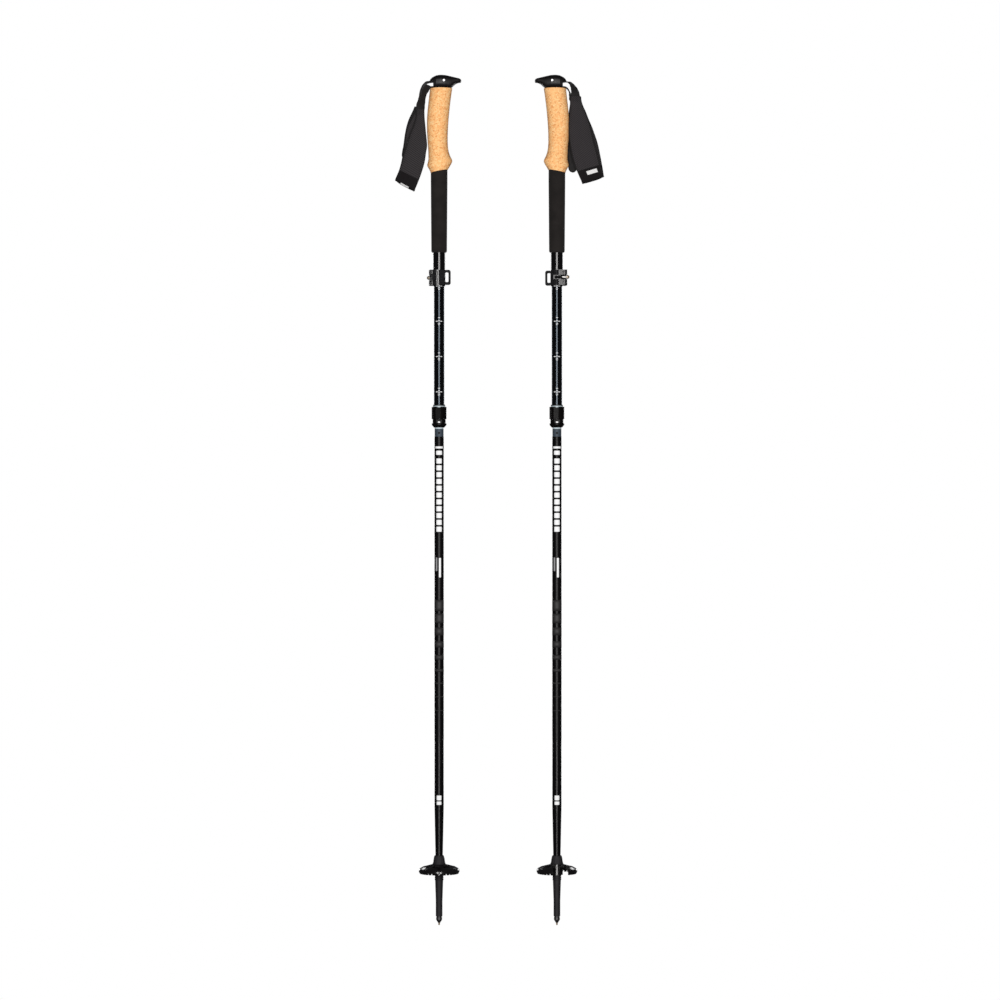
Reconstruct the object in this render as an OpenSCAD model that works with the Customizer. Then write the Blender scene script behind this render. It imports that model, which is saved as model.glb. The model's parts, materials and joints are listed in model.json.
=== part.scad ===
// A pair of folding, length-adjustable trekking poles, standing upright side by side.
// +Z is up, the carbide tips touch Z = 0, and the camera side of the pair is -Y.
// Each pole has a grip group (grip, strap, upper shaft, clamp) and a lower group
// (adjusting tube, slide lock, middle shaft, lower shaft, basket and tip).
// The right pole's grip group is the left one turned half a turn about the pole.

/* [Pair] */
// Distance between the two poles' axes
stance = 166; // [150:1:240]
// Angle of the folding plane, and of the basket's notch, away from the Y axis
fold_turn = 12; // [0:1:20]

/* [Heights] */
// Joint plane between the lower and the middle shaft
low_joint_z = 261; // [240:1:280]
// Joint plane between the middle shaft and the slide lock
mid_joint_z = 699; // [680:1:715]
// Lower end of the upper shaft, at the stored length setting
clamp_z = 900.5; // [890:1:910]
// Lower end of the foam grip
foam_z = 947.5; // [940:1:960]
// Height of the slanted joint between the foam and the cork, at the pole's middle
cork_z = 1062; // [1055:1:1070]
// Underside of the head
head_z = 1179; // [1175:1:1182]

/* [Shafts] */
// Outside radius of the upper shaft
upper_r = 8.6; // [8.4:0.1:8.8]
// Outside radius of the adjusting tube
tube_r = 7.45; // [7.3:0.05:7.5]
// Outside radius of the middle shaft
mid_r = 6.65; // [6.4:0.05:6.8]
// Outside radius of the lower shaft at its top
low_r = 6.55; // [6.3:0.05:6.7]
// Outside radius of the lower shaft at its bottom
low_end_r = 5.15; // [5:0.05:5.4]
// Wall of every shaft tube
wall = 0.9; // [0.8:0.1:1.1]

/* [Basket and tip] */
// Outside radius of the basket
basket_r = 28.6; // [26:0.2:32]
// Number of teeth round the basket's lower edge
teeth = 32; // [20:2:40]
// Radius of the tip body's straight lower stretch
tip_r = 4.7; // [4.4:0.1:5]

/* [Strap] */
// Width of the strap's webbing
web_w = 12; // [10:0.5:13]
// Thickness of the strap's webbing
web_t = 1.5; // [1:0.1:1.6]
// Depth of the padded loop, front face to back face
loop_d = 15; // [13:0.5:18]
// Thickness of the padded band
band_t = 3; // [2:0.25:3.5]

/* [Hidden] */
$fn = 64;
fit = 0.05;
seam = 0.3;

black = [0.035, 0.035, 0.04];
plastic = [0.1, 0.1, 0.105];
silver = [0.78, 0.79, 0.8];

// ---- placing -------------------------------------------------------------------

// Grip group of a pole: side is -1 for the left pole and 1 for the right one
module grip_at(side) {
    translate([side * stance / 2, 0, 0]) rotate([0, 0, side > 0 ? 180 : 0]) children();
}

// Lower group of a pole: its scale, button and ferrule hole face -Y on both poles
module tube_at(side) {
    translate([side * stance / 2, 0, 0]) children();
}

// ---- shared shapes -------------------------------------------------------------

module tube(r, bore, z0, z1) {
    translate([0, 0, z0]) difference() {
        cylinder(r = r, h = z1 - z0);
        translate([0, 0, -1]) cylinder(r = bore, h = z1 - z0 + 2);
    }
}

// Ring or disc between two heights whose radius runs from r0 to r1
module cone(r0, r1, z0, z1) {
    translate([0, 0, z0]) cylinder(r1 = r0, r2 = r1, h = z1 - z0);
}

// Rectangle with round corners, from its centre
module round_rect(w, h, r) {
    square([w - 2 * r, h], center = true);
    square([w, h - 2 * r], center = true);
    for (x = [-1, 1], y = [-1, 1]) {
        translate([x * (w / 2 - r), y * (h / 2 - r)]) circle(r = r);
    }
}

// Flat shape drawn in X and Z, given a depth along Y and centred on y
module plate(depth, y = 0) {
    translate([0, y + depth / 2, 0]) rotate([90, 0, 0]) linear_extrude(depth) children();
}

// Closed solid through a list of rings that all have the same number of points
module loft(rings) {
    n = len(rings[0]);
    m = len(rings);
    polyhedron(
        points = [for (ring = rings) each ring],
        faces = concat(
            [[for (k = [0:n - 1]) k]],
            [for (i = [0:m - 2], k = [0:n - 1]) let (a = i * n + k, b = i * n + (k + 1) % n)
                each [[a, a + n, b], [b, a + n, b + n]]],
            [[for (k = [n - 1:-1:0]) (m - 1) * n + k]])
    );
}

// ---- head ----------------------------------------------------------------------

// Stations of the head along X, from the strap side to the beak
head_x0 = -13.8;
head_x1 = 31.2;
head_steps = 26;
cap_split_z = 1192.4;
pin_x = 6.8;
pin_z = 1189.2;
pin_r = 1.5;
slot_w = web_w + 1;

function head_x(i) = head_x0 + (head_x1 - head_x0) * (1 - cos(180 * i / head_steps)) / 2;
function head_top(x) = lookup(x, [[-13.8, 1188.5], [-12.6, 1191.6], [-9.5, 1194.6],
                                  [-4, 1197.2], [2, 1198.1], [9, 1197.6], [16, 1196.1],
                                  [23, 1194.4], [28, 1193.3], [30.4, 1192], [31.2, 1190.4]]);
function head_low(x) = lookup(x, [[-13.8, 1184.5], [-12.6, 1181], [-10, 1179], [15, 1179],
                                  [18, 1180.2], [20.5, 1182.8], [23.5, 1185.4],
                                  [27, 1186.8], [30.4, 1187.2], [31.2, 1188.6]]);
function head_half(x) = lookup(x, [[-13.8, 6], [-12.6, 8.6], [-9.5, 11.4], [-4, 13.6],
                                   [2, 14.2], [9, 13.4], [16, 11.4], [23, 9], [28, 7.4],
                                   [30.4, 5.8], [31.2, 3.6]]);

// Cross-section of the head at x: an ellipse-like outline, fuller than an ellipse
head_points = 44;
head_full = 0.78;
function head_ring(x) =
    let (zc = (head_top(x) + head_low(x)) / 2, zh = (head_top(x) - head_low(x)) / 2)
    [for (k = [0:head_points - 1])
        let (a = k * 360 / head_points, c = cos(a), s = sin(a))
        [x, sign(c) * pow(abs(c), head_full) * head_half(x),
         zc + sign(s) * pow(abs(s), head_full) * zh]];

module head_solid() {
    loft([for (i = [0:head_steps]) head_ring(head_x(i))]);
}

// Side profile of the webbing that runs in at the strap side, round the strap pin and out again
module tongue_profile() {
    difference() {
        union() {
            polygon([[-13.7, 1187], [-8.2, 1187.6], [-2, 1188.2], [pin_x, pin_z + pin_r],
                     [pin_x, pin_z + 3], [-2, 1189.7], [-8.2, 1189.1], [-13.7, 1188.5]]);
            polygon([[-13.4, 1179.4], [-12.6, 1179.8], [-8.2, 1180.3], [-4, 1180.5], [0, 1181.9],
                     [pin_x, pin_z - 3], [pin_x, pin_z - pin_r], [0, 1183.6], [-4, 1182],
                     [-8.2, 1181.8], [-12.2, 1181.2], [-12.9, 1180.8]]);
            translate([pin_x, pin_z]) circle(r = 3);
        }
        translate([pin_x, pin_z]) circle(r = pin_r);
    }
}

// Space inside the head for the webbing, open at the strap side
module tongue_room() {
    plate(slot_w) {
        polygon([[-20, 1179.8], [-4, 1180], [0.4, 1181.3], [pin_x + 2, pin_z - 3.6],
                 [pin_x + 3.6, pin_z], [pin_x + 2, pin_z + 3.6], [pin_x - 0.4, pin_z + 3.6],
                 [-2, 1190.2], [-8.2, 1189.6], [-20, 1189.6]]);
    }
}

// Recess at the strap side, right through the head, where the two strands spread apart
module strap_recess() {
    plate(60) {
        hull() {
            translate([-10.8, 1186.6]) circle(r = 2.6);
            translate([-10.8, 1180]) circle(r = 2.6);
            translate([-24, 1170]) square([4, 19.2]);
            translate([-12, 1170]) square([3.8, 4]);
        }
    }
}

module strap_pin_hole(r) {
    translate([pin_x, 0, pin_z]) rotate([90, 0, 0]) cylinder(r = r, h = 60, center = true);
}

module grip_head() {
    color(plastic) difference() {
        head_solid();
        translate([-50, -50, cap_split_z]) cube(100);
        tongue_room();
        strap_recess();
        strap_pin_hole(pin_r + 0.03);
        // seat for the end of the upper shaft
        translate([0, 0, head_z - 5]) cylinder(r = upper_r + fit, h = 5.8);
    }
}

module head_cap() {
    color(black) difference() {
        head_solid();
        translate([-50, -50, cap_split_z - 100]) cube(100);
        tongue_room();
    }
}

module strap_pin() {
    color(silver) intersection() {
        strap_pin_hole(pin_r);
        translate([pin_x, 0, pin_z]) cube([8, 25.4, 8], center = true);
    }
}

module strap_tongue() {
    color([0.12, 0.12, 0.13]) plate(web_w) tongue_profile();
}

// Wedge that spreads the two layers, pressed in behind the pin
module strap_wedge() {
    color(plastic) plate(web_w - 1) {
        polygon([[-8, 1182.2], [-3.8, 1182.4], [1.5, 1185], [2.2, 1186.6], [1.5, 1188.4],
                 [-2, 1187.8], [-8, 1187.2]]);
    }
}

// ---- cork and foam grips ---------------------------------------------------------

// Heights of the cork grip's rings; the lowest are cut off at the slanted joint with the foam
cork_hs = [1056, 1059, 1062, 1064.5, 1067, 1069, 1071, 1073, 1075, 1077, 1079, 1081.5, 1085,
           1090, 1096, 1104, 1114, 1125, 1137, 1149, 1160, 1170, head_z];
function cork_out(z) = lookup(z, [[1056, -11.8], [1060, -11.9], [1063, -12.9], [1066, -14.6],
                                  [1069, -16.4], [1071, -16.9], [1074, -16.2], [1079, -15],
                                  [1090, -15.2], [1106, -16.4], [1118, -17.1], [1130, -17.3],
                                  [1140, -17], [1152, -15.9], [1163, -14.6], [1172, -13.6],
                                  [1179, -12.8]]);
function cork_in(z) = lookup(z, [[1056, 11.8], [1063, 12], [1065, 12.6], [1067, 13.8],
                                 [1070, 15.6], [1073, 17.3], [1075.4, 18.4], [1077.2, 18.6],
                                 [1079.5, 17.8], [1083, 15.8], [1087, 14.2], [1092, 13],
                                 [1098, 12.2], [1107, 12], [1118, 12.2], [1130, 12.9],
                                 [1140, 13.7], [1152, 14.9], [1163, 16.2], [1174, 17.7],
                                 [1179, 18.5]]);
function cork_half(z) = lookup(z, [[1056, 11.8], [1061, 11.9], [1065, 12.6], [1070, 13.7],
                                   [1076, 14.1], [1086, 13.6], [1110, 13.4], [1140, 13.2],
                                   [1166, 13.2], [1179, 13.4]]);

cork_points = 48;
function cork_ring(z) =
    let (c = (cork_out(z) + cork_in(z)) / 2, w = (cork_in(z) - cork_out(z)) / 2)
    [for (k = [0:cork_points - 1])
        let (a = -k * 360 / cork_points)
        [c + w * cos(a), cork_half(z) * sin(a), z]];

// Everything below the slanted joint between the foam and the cork, or above it
module joint_side(below) {
    translate([0, 0, cork_z + 0.4]) rotate([0, -10.6, 0]) {
        translate([-60, -60, below ? -120 : 0]) cube(120);
    }
}

module cork_grip() {
    color([0.72, 0.47, 0.28]) difference() {
        loft([for (z = cork_hs) cork_ring(z)]);
        joint_side(true);
        translate([0, 0, cork_z - 8]) cylinder(r = upper_r + fit, h = 130);
    }
}

// Half profile of the foam grip, with a rounded lower end
foam_low_r = 11;
foam_top_r = 11.75;
foam_round = 2.4;

module foam_grip() {
    color([0.06, 0.06, 0.065]) difference() {
        rotate_extrude() {
            polygon(concat(
                [[upper_r, foam_z]],
                [for (a = [-90:15:0])
                    [foam_low_r - foam_round + foam_round * cos(a),
                     foam_z + foam_round + foam_round * sin(a)]],
                [[foam_top_r, cork_z - 16], [foam_top_r, cork_z + 6],
                 [upper_r, cork_z + 6]]));
        }
        joint_side(false);
    }
}

module upper_shaft() {
    color(black) difference() {
        tube(upper_r, tube_r + fit, clamp_z, head_z + 0.8);
        // slit that lets the clamp squeeze the shaft's end
        translate([-12, -0.6, clamp_z - 1]) cube([8, 1.2, 32]);
    }
}

// ---- clamp -----------------------------------------------------------------------

clamp_low = clamp_z + 0.9;
clamp_top = clamp_z + 22.5;
clamp_mid = (clamp_low + clamp_top) / 2;
collar_x = -2;
collar_r = 11.2;
lever_x = -9.8;
lever_y = -7.6;
lever_pin_r = 1.5;
lever_gap = 9.8;
ear_r = 3.2;
screw_y = 10.6;
screw_z = clamp_mid + 0.5;
loop_w = 8.8;
loop_x = 12;

module clamp_collar() {
    color(black) difference() {
        union() {
            translate([collar_x, 0, clamp_low]) cylinder(r = collar_r, h = clamp_top - clamp_low);
            // block at the outer side that carries the screw
            translate([-7.2, 5.1, clamp_low]) linear_extrude(clamp_top - clamp_low) {
                round_rect(14.4, 16.2, 3);
            }
            // ears for the lever's pin
            translate([lever_x, lever_y, clamp_low]) cylinder(r = ear_r, h = clamp_top - clamp_low);
        }
        translate([0, 0, clamp_low - 1]) cylinder(r = upper_r + 0.03, h = 40);
        // window between the upper and the lower band
        translate([-30, -30, clamp_mid - lever_gap / 2]) cube([24.4, 40, lever_gap]);
        translate([-30, 8.6, screw_z - 3]) cube([38, 12, 6]);
        translate([lever_x, lever_y, clamp_low - 1]) cylinder(r = lever_pin_r, h = 30);
        // slit, in line with the shaft's own slit
        translate([-30, -0.6, clamp_low - 1]) cube([24, 1.2, 40]);
        // grooves down the block's back
        for (x = [-11.4, -8.6]) {
            translate([x, 13.3, clamp_low - 1]) cylinder(r = 0.55, h = 40);
        }
    }
}

// Front outline of the lever's arm, narrow at the pin and full height at the loop
module lever_outline() {
    h = (clamp_top - clamp_low) / 2 - 0.2;
    g = lever_gap / 2 - seam;
    polygon([[-16, clamp_mid - g], [-5.6, clamp_mid - g], [2.5, clamp_mid - h],
             [30, clamp_mid - h], [30, clamp_mid + h], [2.5, clamp_mid + h],
             [-5.6, clamp_mid + g], [-16, clamp_mid + g]]);
}

module clamp_lever() {
    g = lever_gap - 2 * seam;
    color(black) difference() {
        union() {
            intersection() {
                translate([collar_x, 0, clamp_low - 1]) difference() {
                    cylinder(r = collar_r + 3.1, h = 30);
                    translate([0, 0, -1]) cylinder(r = collar_r + 0.4, h = 40);
                }
                plate(40, -20) lever_outline();
                translate([lever_x, -40, clamp_low - 1]) cube([18.4, 40 + lever_y + 2.2, 40]);
            }
            translate([lever_x, lever_y, clamp_mid - g / 2]) cylinder(r = ear_r, h = g);
            // flat tail with the finger loop
            translate([loop_x, 0, clamp_mid]) plate(2.6, -8.2) {
                round_rect(loop_w, clamp_top - clamp_low - 0.4, 3);
            }
        }
        translate([loop_x - 1, 0, clamp_mid + 0.2]) plate(10, -8.2) round_rect(4.6, 13.6, 1.6);
        translate([lever_x, lever_y, clamp_low - 1]) cylinder(r = lever_pin_r + fit, h = 40);
        // round recess in the face of the arm
        translate([-3.4, -10, clamp_mid + 1]) rotate([90, 0, 0]) cylinder(r = 2.5, h = 10);
    }
}

module clamp_pin() {
    color(silver) translate([lever_x, lever_y, clamp_low + 0.3]) {
        cylinder(r = lever_pin_r, h = clamp_top - clamp_low - 0.6);
    }
}

// Tension screw behind the shaft, with its adjusting nut at the outer side
module clamp_screw() {
    color(silver) translate([0, screw_y, screw_z]) rotate([0, -90, 0]) {
        translate([0, 0, -3]) cylinder(r = 1.9, h = 16.3);
        translate([0, 0, 7.4]) cylinder(r = 2.6, h = 5.6);
    }
}

module clamp_nut() {
    color([0.66, 0.56, 0.42]) translate([0, screw_y, screw_z]) rotate([0, -90, 0]) {
        translate([0, 0, 13.3]) cylinder(r = 2.7, h = 2.2);
        translate([0, 0, 15.5]) cylinder(r1 = 2.7, r2 = 1.4, h = 1.9);
    }
}

// ---- adjusting tube and slide lock -----------------------------------------------

tube_top = 1000;
neck_r = 9.3;
flange_r = 10.45;
sleeve_z = mid_joint_z + 13.9;
sleeve_top = mid_joint_z + 31.2;
sleeve_r = 10.5;
button_z = mid_joint_z + 9.6;
socket_r = 5.6;
seat_h = 3.4;
cord_r = 1.2;

module adjust_tube() {
    color(black) tube(tube_r, tube_r - wall, sleeve_z, tube_top);
}

module adjust_bush() {
    color(plastic) {
        tube(tube_r + 0.02, 4.5, tube_top, tube_top + 9);
        tube(tube_r - wall, 4.5, tube_top - 14, tube_top);
    }
}

module lock_body() {
    color(plastic) difference() {
        union() {
            cone(7.4, flange_r, mid_joint_z + 2.2, mid_joint_z + 5.8);
            tube(flange_r, 2, mid_joint_z + 5.8, mid_joint_z + 7.8);
            tube(neck_r, 2, mid_joint_z + 7.8, sleeve_z);
            tube(tube_r - wall, 2, sleeve_z, sleeve_z + 22);
        }
        // socket for the ferrule's cone
        translate([0, 0, mid_joint_z]) cylinder(r = socket_r, h = seat_h + 2.4);
        // bore for the tension cord
        translate([0, 0, mid_joint_z]) cylinder(r = cord_r + 0.5, h = 80);
        // recessed window and hole for the button
        translate([-5, -neck_r - 5, mid_joint_z + 8.2]) cube([10, 5.9, 4.9]);
        translate([0, 0, button_z]) plate(9, -7.5) round_rect(5.4, 3.2, 1.55);
    }
}

module lock_button() {
    color(silver) translate([0, 0, button_z]) {
        plate(5.2, -6.8) round_rect(4.8, 2.6, 1.25);
    }
}

module lock_sleeve() {
    color(plastic) difference() {
        tube(sleeve_r, tube_r + fit, sleeve_z + 0.2, sleeve_top);
        // gripping flats round the sleeve
        for (a = [-8:60:351]) {
            rotate([0, 0, a]) translate([-20, -sleeve_r - 9.45, sleeve_z - 1]) cube([40, 10, 40]);
        }
        // notch at the front of the top edge
        translate([-1.9, -20, sleeve_top - 0.9]) cube([3.8, 20, 5]);
    }
}

module lock_ring() {
    color([0.86, 0.87, 0.88]) {
        tube(8.6, tube_r + fit, sleeve_top, sleeve_top + 3);
        intersection() {
            tube(8.6, tube_r + fit, sleeve_top - 0.9, sleeve_top);
            translate([-1.9, -20, 0]) cube([3.8, 20, 2000]);
        }
    }
}

module seat_ring() {
    color([0.86, 0.87, 0.88]) tube(6.3, socket_r, mid_joint_z + 0.15, mid_joint_z + 2.2);
}

// ---- middle shaft ----------------------------------------------------------------

module mid_ferrule() {
    color([0.36, 0.43, 0.5]) difference() {
        union() {
            tube(6.3, cord_r + 0.5, mid_joint_z - 10.8, mid_joint_z);
            tube(mid_r - wall, cord_r + 0.5, mid_joint_z - 26, mid_joint_z - 10.8);
            difference() {
                cone(5, 3.4, mid_joint_z, mid_joint_z + seat_h);
                translate([0, 0, mid_joint_z - 1]) cylinder(r = cord_r + 0.5, h = 9);
            }
        }
        // small sight hole at the front
        translate([0, -3.5, mid_joint_z - 5.6]) rotate([90, 0, 0]) cylinder(r = 1.3, h = 6);
    }
}

module mid_shaft() {
    color(black) tube(mid_r, mid_r - wall, low_joint_z, mid_joint_z - 10.8);
}

// ---- lower shaft, basket and tip ---------------------------------------------------

collar_z = 86;
collar_top = 98;
taper_z = 168;
hub_z = 71;
core_r = 6.1;

// Plug in the top of the lower shaft, with the cone that enters the middle shaft
module low_plug() {
    color([0.62, 0.63, 0.65]) {
        tube(low_r - wall, 0.01 + cord_r + 0.5, low_joint_z - 20, low_joint_z - 0.35);
        difference() {
            cone(low_r - wall, 3.3, low_joint_z - 0.35, low_joint_z + 4);
            translate([0, 0, low_joint_z - 1]) cylinder(r = cord_r + 0.5, h = 9);
        }
        // bottom that anchors the cord
        translate([0, 0, low_joint_z - 25]) cylinder(r = low_r - wall, h = 5);
    }
}

module low_shaft() {
    color(black) rotate_extrude() polygon([
        [low_end_r, 60], [low_end_r, collar_top], [low_r, taper_z],
        [low_r, low_joint_z - 0.35], [low_r - wall, low_joint_z - 0.35],
        [low_r - wall, taper_z], [low_end_r - wall, collar_top], [low_end_r - wall, 60]
    ]);
}

// Elastic cord that runs inside from the lower shaft's plug to the slide lock
module tension_cord() {
    color([0.2, 0.2, 0.22]) {
        translate([0, 0, low_joint_z - 20]) cylinder(r = cord_r, h = sleeve_z + 22 - low_joint_z + 20);
    }
}

// Wedge-shaped prism that opens outwards from r0 to r1, in the direction of +X
module flare(r0, w0, r1, w1, z0, z1) {
    translate([0, 0, z0]) linear_extrude(z1 - z0) {
        polygon([[r0, -w0], [r1, -w1], [r1, w1], [r0, w0]]);
    }
}

// side is -1 or 1: the notch faces the side on which the folded middle shaft lies
module basket(side) {
    color(plastic) rotate([0, 0, fold_turn + 90 * -side]) difference() {
        rotate_extrude() polygon([
            [core_r + fit, hub_z], [8.3, hub_z], [8.3, 81.6], [12, 82.2], [18, 81.3],
            [23.6, 78.9], [25.2, 76.8], [25.4, 72.6], [27.3, 72.6],
            [basket_r, 75.2], [basket_r, 77.6], [27.4, 79.8], [23, 82.2], [14, 84.6],
            [9.4, 85.8], [core_r + fit, 85.8]
        ]);
        // notch for the folded middle shaft
        flare(10.5, 8.1, 40, 14, 60, 100);
        translate([0, 0, 60]) intersection() {
            difference() {
                cylinder(r = 16, h = 40);
                translate([0, 0, -1]) cylinder(r = 9.4, h = 50);
            }
            flare(0, 2, 30, 22, -1, 41);
        }
        // openings in the web
        for (a = [62:47.2:300]) {
            rotate([0, 0, a]) flare(12.4, 3.4, 21.6, 6.6, 60, 100);
        }
        // gaps between the teeth
        for (i = [0:teeth - 1]) {
            rotate([0, 0, 360 * i / teeth]) translate([24, -1.1, 60]) cube([8, 2.2, 14.6]);
        }
    }
}

module tip_body() {
    color([0.16, 0.16, 0.17]) difference() {
        union() {
            rotate_extrude() polygon([
                [0, 12.4], [4.3, 12.4], [tip_r, 13], [tip_r, 34], [5.65, 63.2],
                [6.2, 63.6], [6.2, 65.2], [5.8, 65.5], [5.8, 66.3], [6.2, 66.6], [6.2, 68],
                [5.8, 68.3], [5.8, 69.1], [6.2, 69.4], [6.2, hub_z - seam],
                [core_r, hub_z - seam], [core_r, collar_z], [9.5, collar_z],
                [9.2, 86.6], [8.4, 88.6], [7.8, 93], [7.2, 96.2], [6.4, collar_top],
                [0, collar_top]
            ]);
        }
        translate([0, 0, 60]) cylinder(r = low_end_r + 0.03, h = 60);
        // flutes round the collar
        for (a = [0:30:359]) {
            rotate([0, 0, a]) translate([9.15, 0, 88.8]) rotate([0, -8, 0]) {
                cylinder(r = 1.1, h = 12);
            }
        }
        // seat for the carbide tip
        translate([0, 0, 8]) cylinder(r = 1.6, h = 12.4);
    }
}

module carbide_tip() {
    color([0.55, 0.46, 0.34]) rotate_extrude() polygon([
        [0, 0], [0.9, 0], [1.15, 0.5], [1.2, 3], [1.7, 3.6], [3.9, 7], [4.2, 7.8], [4.2, 10.8],
        [3.8, 11.3], [3.8, 12.4], [1.6, 12.4], [1.6, 20.4], [0, 20.4]
    ]);
}

// ---- wrist strap -------------------------------------------------------------------

// Outlines of the hanging padded loops, drawn in X and Z: the left loop, then the right one.
// The two fold points come in the same place in both lists.
loop_tops = [1146, 1166];
loop_lines = [
    [[-21.5, loop_tops[0]], [-34, loop_tops[0]], [-39.5, 1136], [-44.5, 1126], [-48.6, 1108],
     [-51.8, 1084], [-56, 1064], [-61.8, 1049.7], [-35, 1034.2],
     [-26, 1057], [-20.5, 1076], [-17.4, 1094], [-18.4, 1116], [-20.5, 1136]],
    [[-19.6, loop_tops[1]], [-33.6, loop_tops[1]], [-37, 1154.6], [-49.4, 1125], [-57.2, 1102.6],
     [-62.8, 1076], [-64.8, 1066], [-66.2, 1054.7], [-36.2, 1044.8],
     [-30.6, 1057.5], [-22.8, 1078.7], [-17.8, 1106], [-16.9, 1126], [-18.4, 1150]]
];

module strap_band(which) {
    line = loop_lines[which];
    low = line[7];
    slope = (line[8].y - low.y) / (line[8].x - low.x);
    color([0.14, 0.14, 0.15]) difference() {
        plate(loop_d) polygon(line);
        plate(loop_d - 2 * band_t) {
            polygon([[-90, low.y + band_t * 1.2 + slope * (-90 - low.x)],
                     [0, low.y + band_t * 1.2 - slope * low.x],
                     [0, loop_tops[which] - 7], [-90, loop_tops[which] - 7]]);
        }
    }
}

// Middle of each free tail from its top to its end: the left pole's, then the right one's
tail_lines = [
    [[-30.4, 1144], [-36.3, 1136.5], [-39.8, 1127], [-42.4, 1115], [-44.6, 1098.4], [-47, 1085.4]],
    [[-26.6, 1164], [-22.8, 1142], [-21.6, 1128], [-20.4, 1111], [-19.8, 1097], [-22.4, 1068]]
];

// The two webbing strands leave the head lying flat, one above the other, and twist a
// quarter turn as they drop and meet. i is 0 for the upper, outer strand and 1 for the inner.
web_steps = 12;
web_xs = [
    [[0, -14.15], [0.12, -16.6], [0.25, -19.4], [0.38, -22], [0.5, -23.8], [0.62, -25],
     [0.78, -26.9], [1, -29.8]],
    [[0, -14.15], [0.12, -15.4], [0.25, -16.8], [0.38, -18.4], [0.5, -20.3], [0.62, -22.6],
     [0.78, -25.8], [1, -29.8]]
];
web_zs = [
    [[0, 1187.75], [0.12, 1186.7], [0.25, 1184.5], [0.38, 1180.6], [0.5, 1175.8],
     [0.62, 1170], [0.78, 1161], [1, 1148]],
    [[0, 1179.35], [0.12, 1177.6], [0.25, 1174.6], [0.38, 1170.8], [0.5, 1167],
     [0.62, 1162.8], [0.78, 1157], [1, 1148]]
];
web_leans = [
    [[0, 20], [0.12, 30], [0.25, 48], [0.38, 64], [0.5, 74], [0.62, 78], [1, 78]],
    [[0, 48], [0.12, 60], [0.25, 66], [0.5, 62], [0.78, 66], [1, 70]]
];
web_twists = [[[0.15, 0], [0.7, 90]], [[0.25, 0], [0.8, 90]]];

module web_slice(i, t) {
    y = (1 - 2 * i) * 0.8 * min(1, max(0, (t - 0.35) / 0.35));
    translate([lookup(t, web_xs[i]), y, lookup(t, web_zs[i])]) {
        rotate([0, -lookup(t, web_leans[i]), 0]) rotate([-lookup(t, web_twists[i]), 0, 0]) {
            cube([0.05, web_w, web_t], center = true);
        }
    }
}

module strap_webbing(which) {
    tail = tail_lines[which];
    tail_y = loop_d / 2 + 0.02;
    top = loop_tops[which];
    color([0.12, 0.12, 0.13]) {
        for (i = [0, 1], k = [0:web_steps - 1]) {
            if (lookup((k + 1) / web_steps, web_zs[i]) > top + 1) hull() {
                web_slice(i, k / web_steps);
                web_slice(i, (k + 1) / web_steps);
            }
        }
        // stitched end of the strands, on top of the padded loop
        translate([which == 0 ? -35 : -31.8, -2.6, top]) cube([12.6, 5.2, 6.4]);
        // free tail with round ends, and the fold that joins it to the stitched end
        mirror([0, which, 0]) for (k = [0:len(tail) - 2]) {
            plate(web_t, tail_y + web_t / 2) hull() {
                translate(tail[k]) circle(d = web_w, $fn = 28);
                translate(tail[k + 1]) circle(d = web_w, $fn = 28);
            }
        }
        mirror([0, which, 0]) translate([tail[0].x - 4.6, 2.6, top]) {
            cube([9.2, tail_y + web_t - 2.6, 2.6]);
        }
    }
}

// ---- the two poles -------------------------------------------------------------------

grip_at(-1) grip_head();  // left_grip_head
grip_at(-1) head_cap();  // left_head_cap
grip_at(-1) strap_pin();  // left_strap_pin
grip_at(-1) strap_tongue();  // left_strap_tongue
grip_at(-1) cork_grip();  // left_cork_grip
grip_at(-1) foam_grip();  // left_foam_grip
grip_at(-1) upper_shaft();  // left_upper_shaft
grip_at(-1) clamp_collar();  // left_clamp_collar
grip_at(-1) clamp_lever();  // left_clamp_lever
grip_at(-1) clamp_pin();  // left_clamp_pin
grip_at(-1) clamp_screw();  // left_clamp_screw
grip_at(-1) clamp_nut();  // left_clamp_nut
tube_at(-1) adjust_tube();  // left_adjust_tube
tube_at(-1) adjust_bush();  // left_adjust_bush
tube_at(-1) lock_body();  // left_lock_body
tube_at(-1) lock_sleeve();  // left_lock_sleeve
tube_at(-1) lock_ring();  // left_lock_ring
tube_at(-1) lock_button();  // left_lock_button
grip_at(-1) strap_wedge();  // left_strap_wedge
tube_at(-1) seat_ring();  // left_seat_ring
tube_at(-1) mid_ferrule();  // left_mid_ferrule
tube_at(-1) mid_shaft();  // left_mid_shaft
tube_at(-1) low_plug();  // left_low_plug
tube_at(-1) low_shaft();  // left_low_shaft
tube_at(-1) tension_cord();  // left_tension_cord
tube_at(-1) basket(-1);  // left_basket
tube_at(-1) tip_body();  // left_tip_body
tube_at(-1) carbide_tip();  // left_carbide_tip
grip_at(-1) strap_band(0);  // left_strap_band
grip_at(-1) strap_webbing(0);  // left_strap_webbing
grip_at(1) grip_head();  // right_grip_head
grip_at(1) head_cap();  // right_head_cap
grip_at(1) strap_pin();  // right_strap_pin
grip_at(1) strap_tongue();  // right_strap_tongue
grip_at(1) cork_grip();  // right_cork_grip
grip_at(1) foam_grip();  // right_foam_grip
grip_at(1) upper_shaft();  // right_upper_shaft
grip_at(1) clamp_collar();  // right_clamp_collar
grip_at(1) clamp_lever();  // right_clamp_lever
grip_at(1) clamp_pin();  // right_clamp_pin
grip_at(1) clamp_screw();  // right_clamp_screw
grip_at(1) clamp_nut();  // right_clamp_nut
tube_at(1) adjust_tube();  // right_adjust_tube
tube_at(1) adjust_bush();  // right_adjust_bush
tube_at(1) lock_body();  // right_lock_body
tube_at(1) lock_sleeve();  // right_lock_sleeve
tube_at(1) lock_ring();  // right_lock_ring
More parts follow.
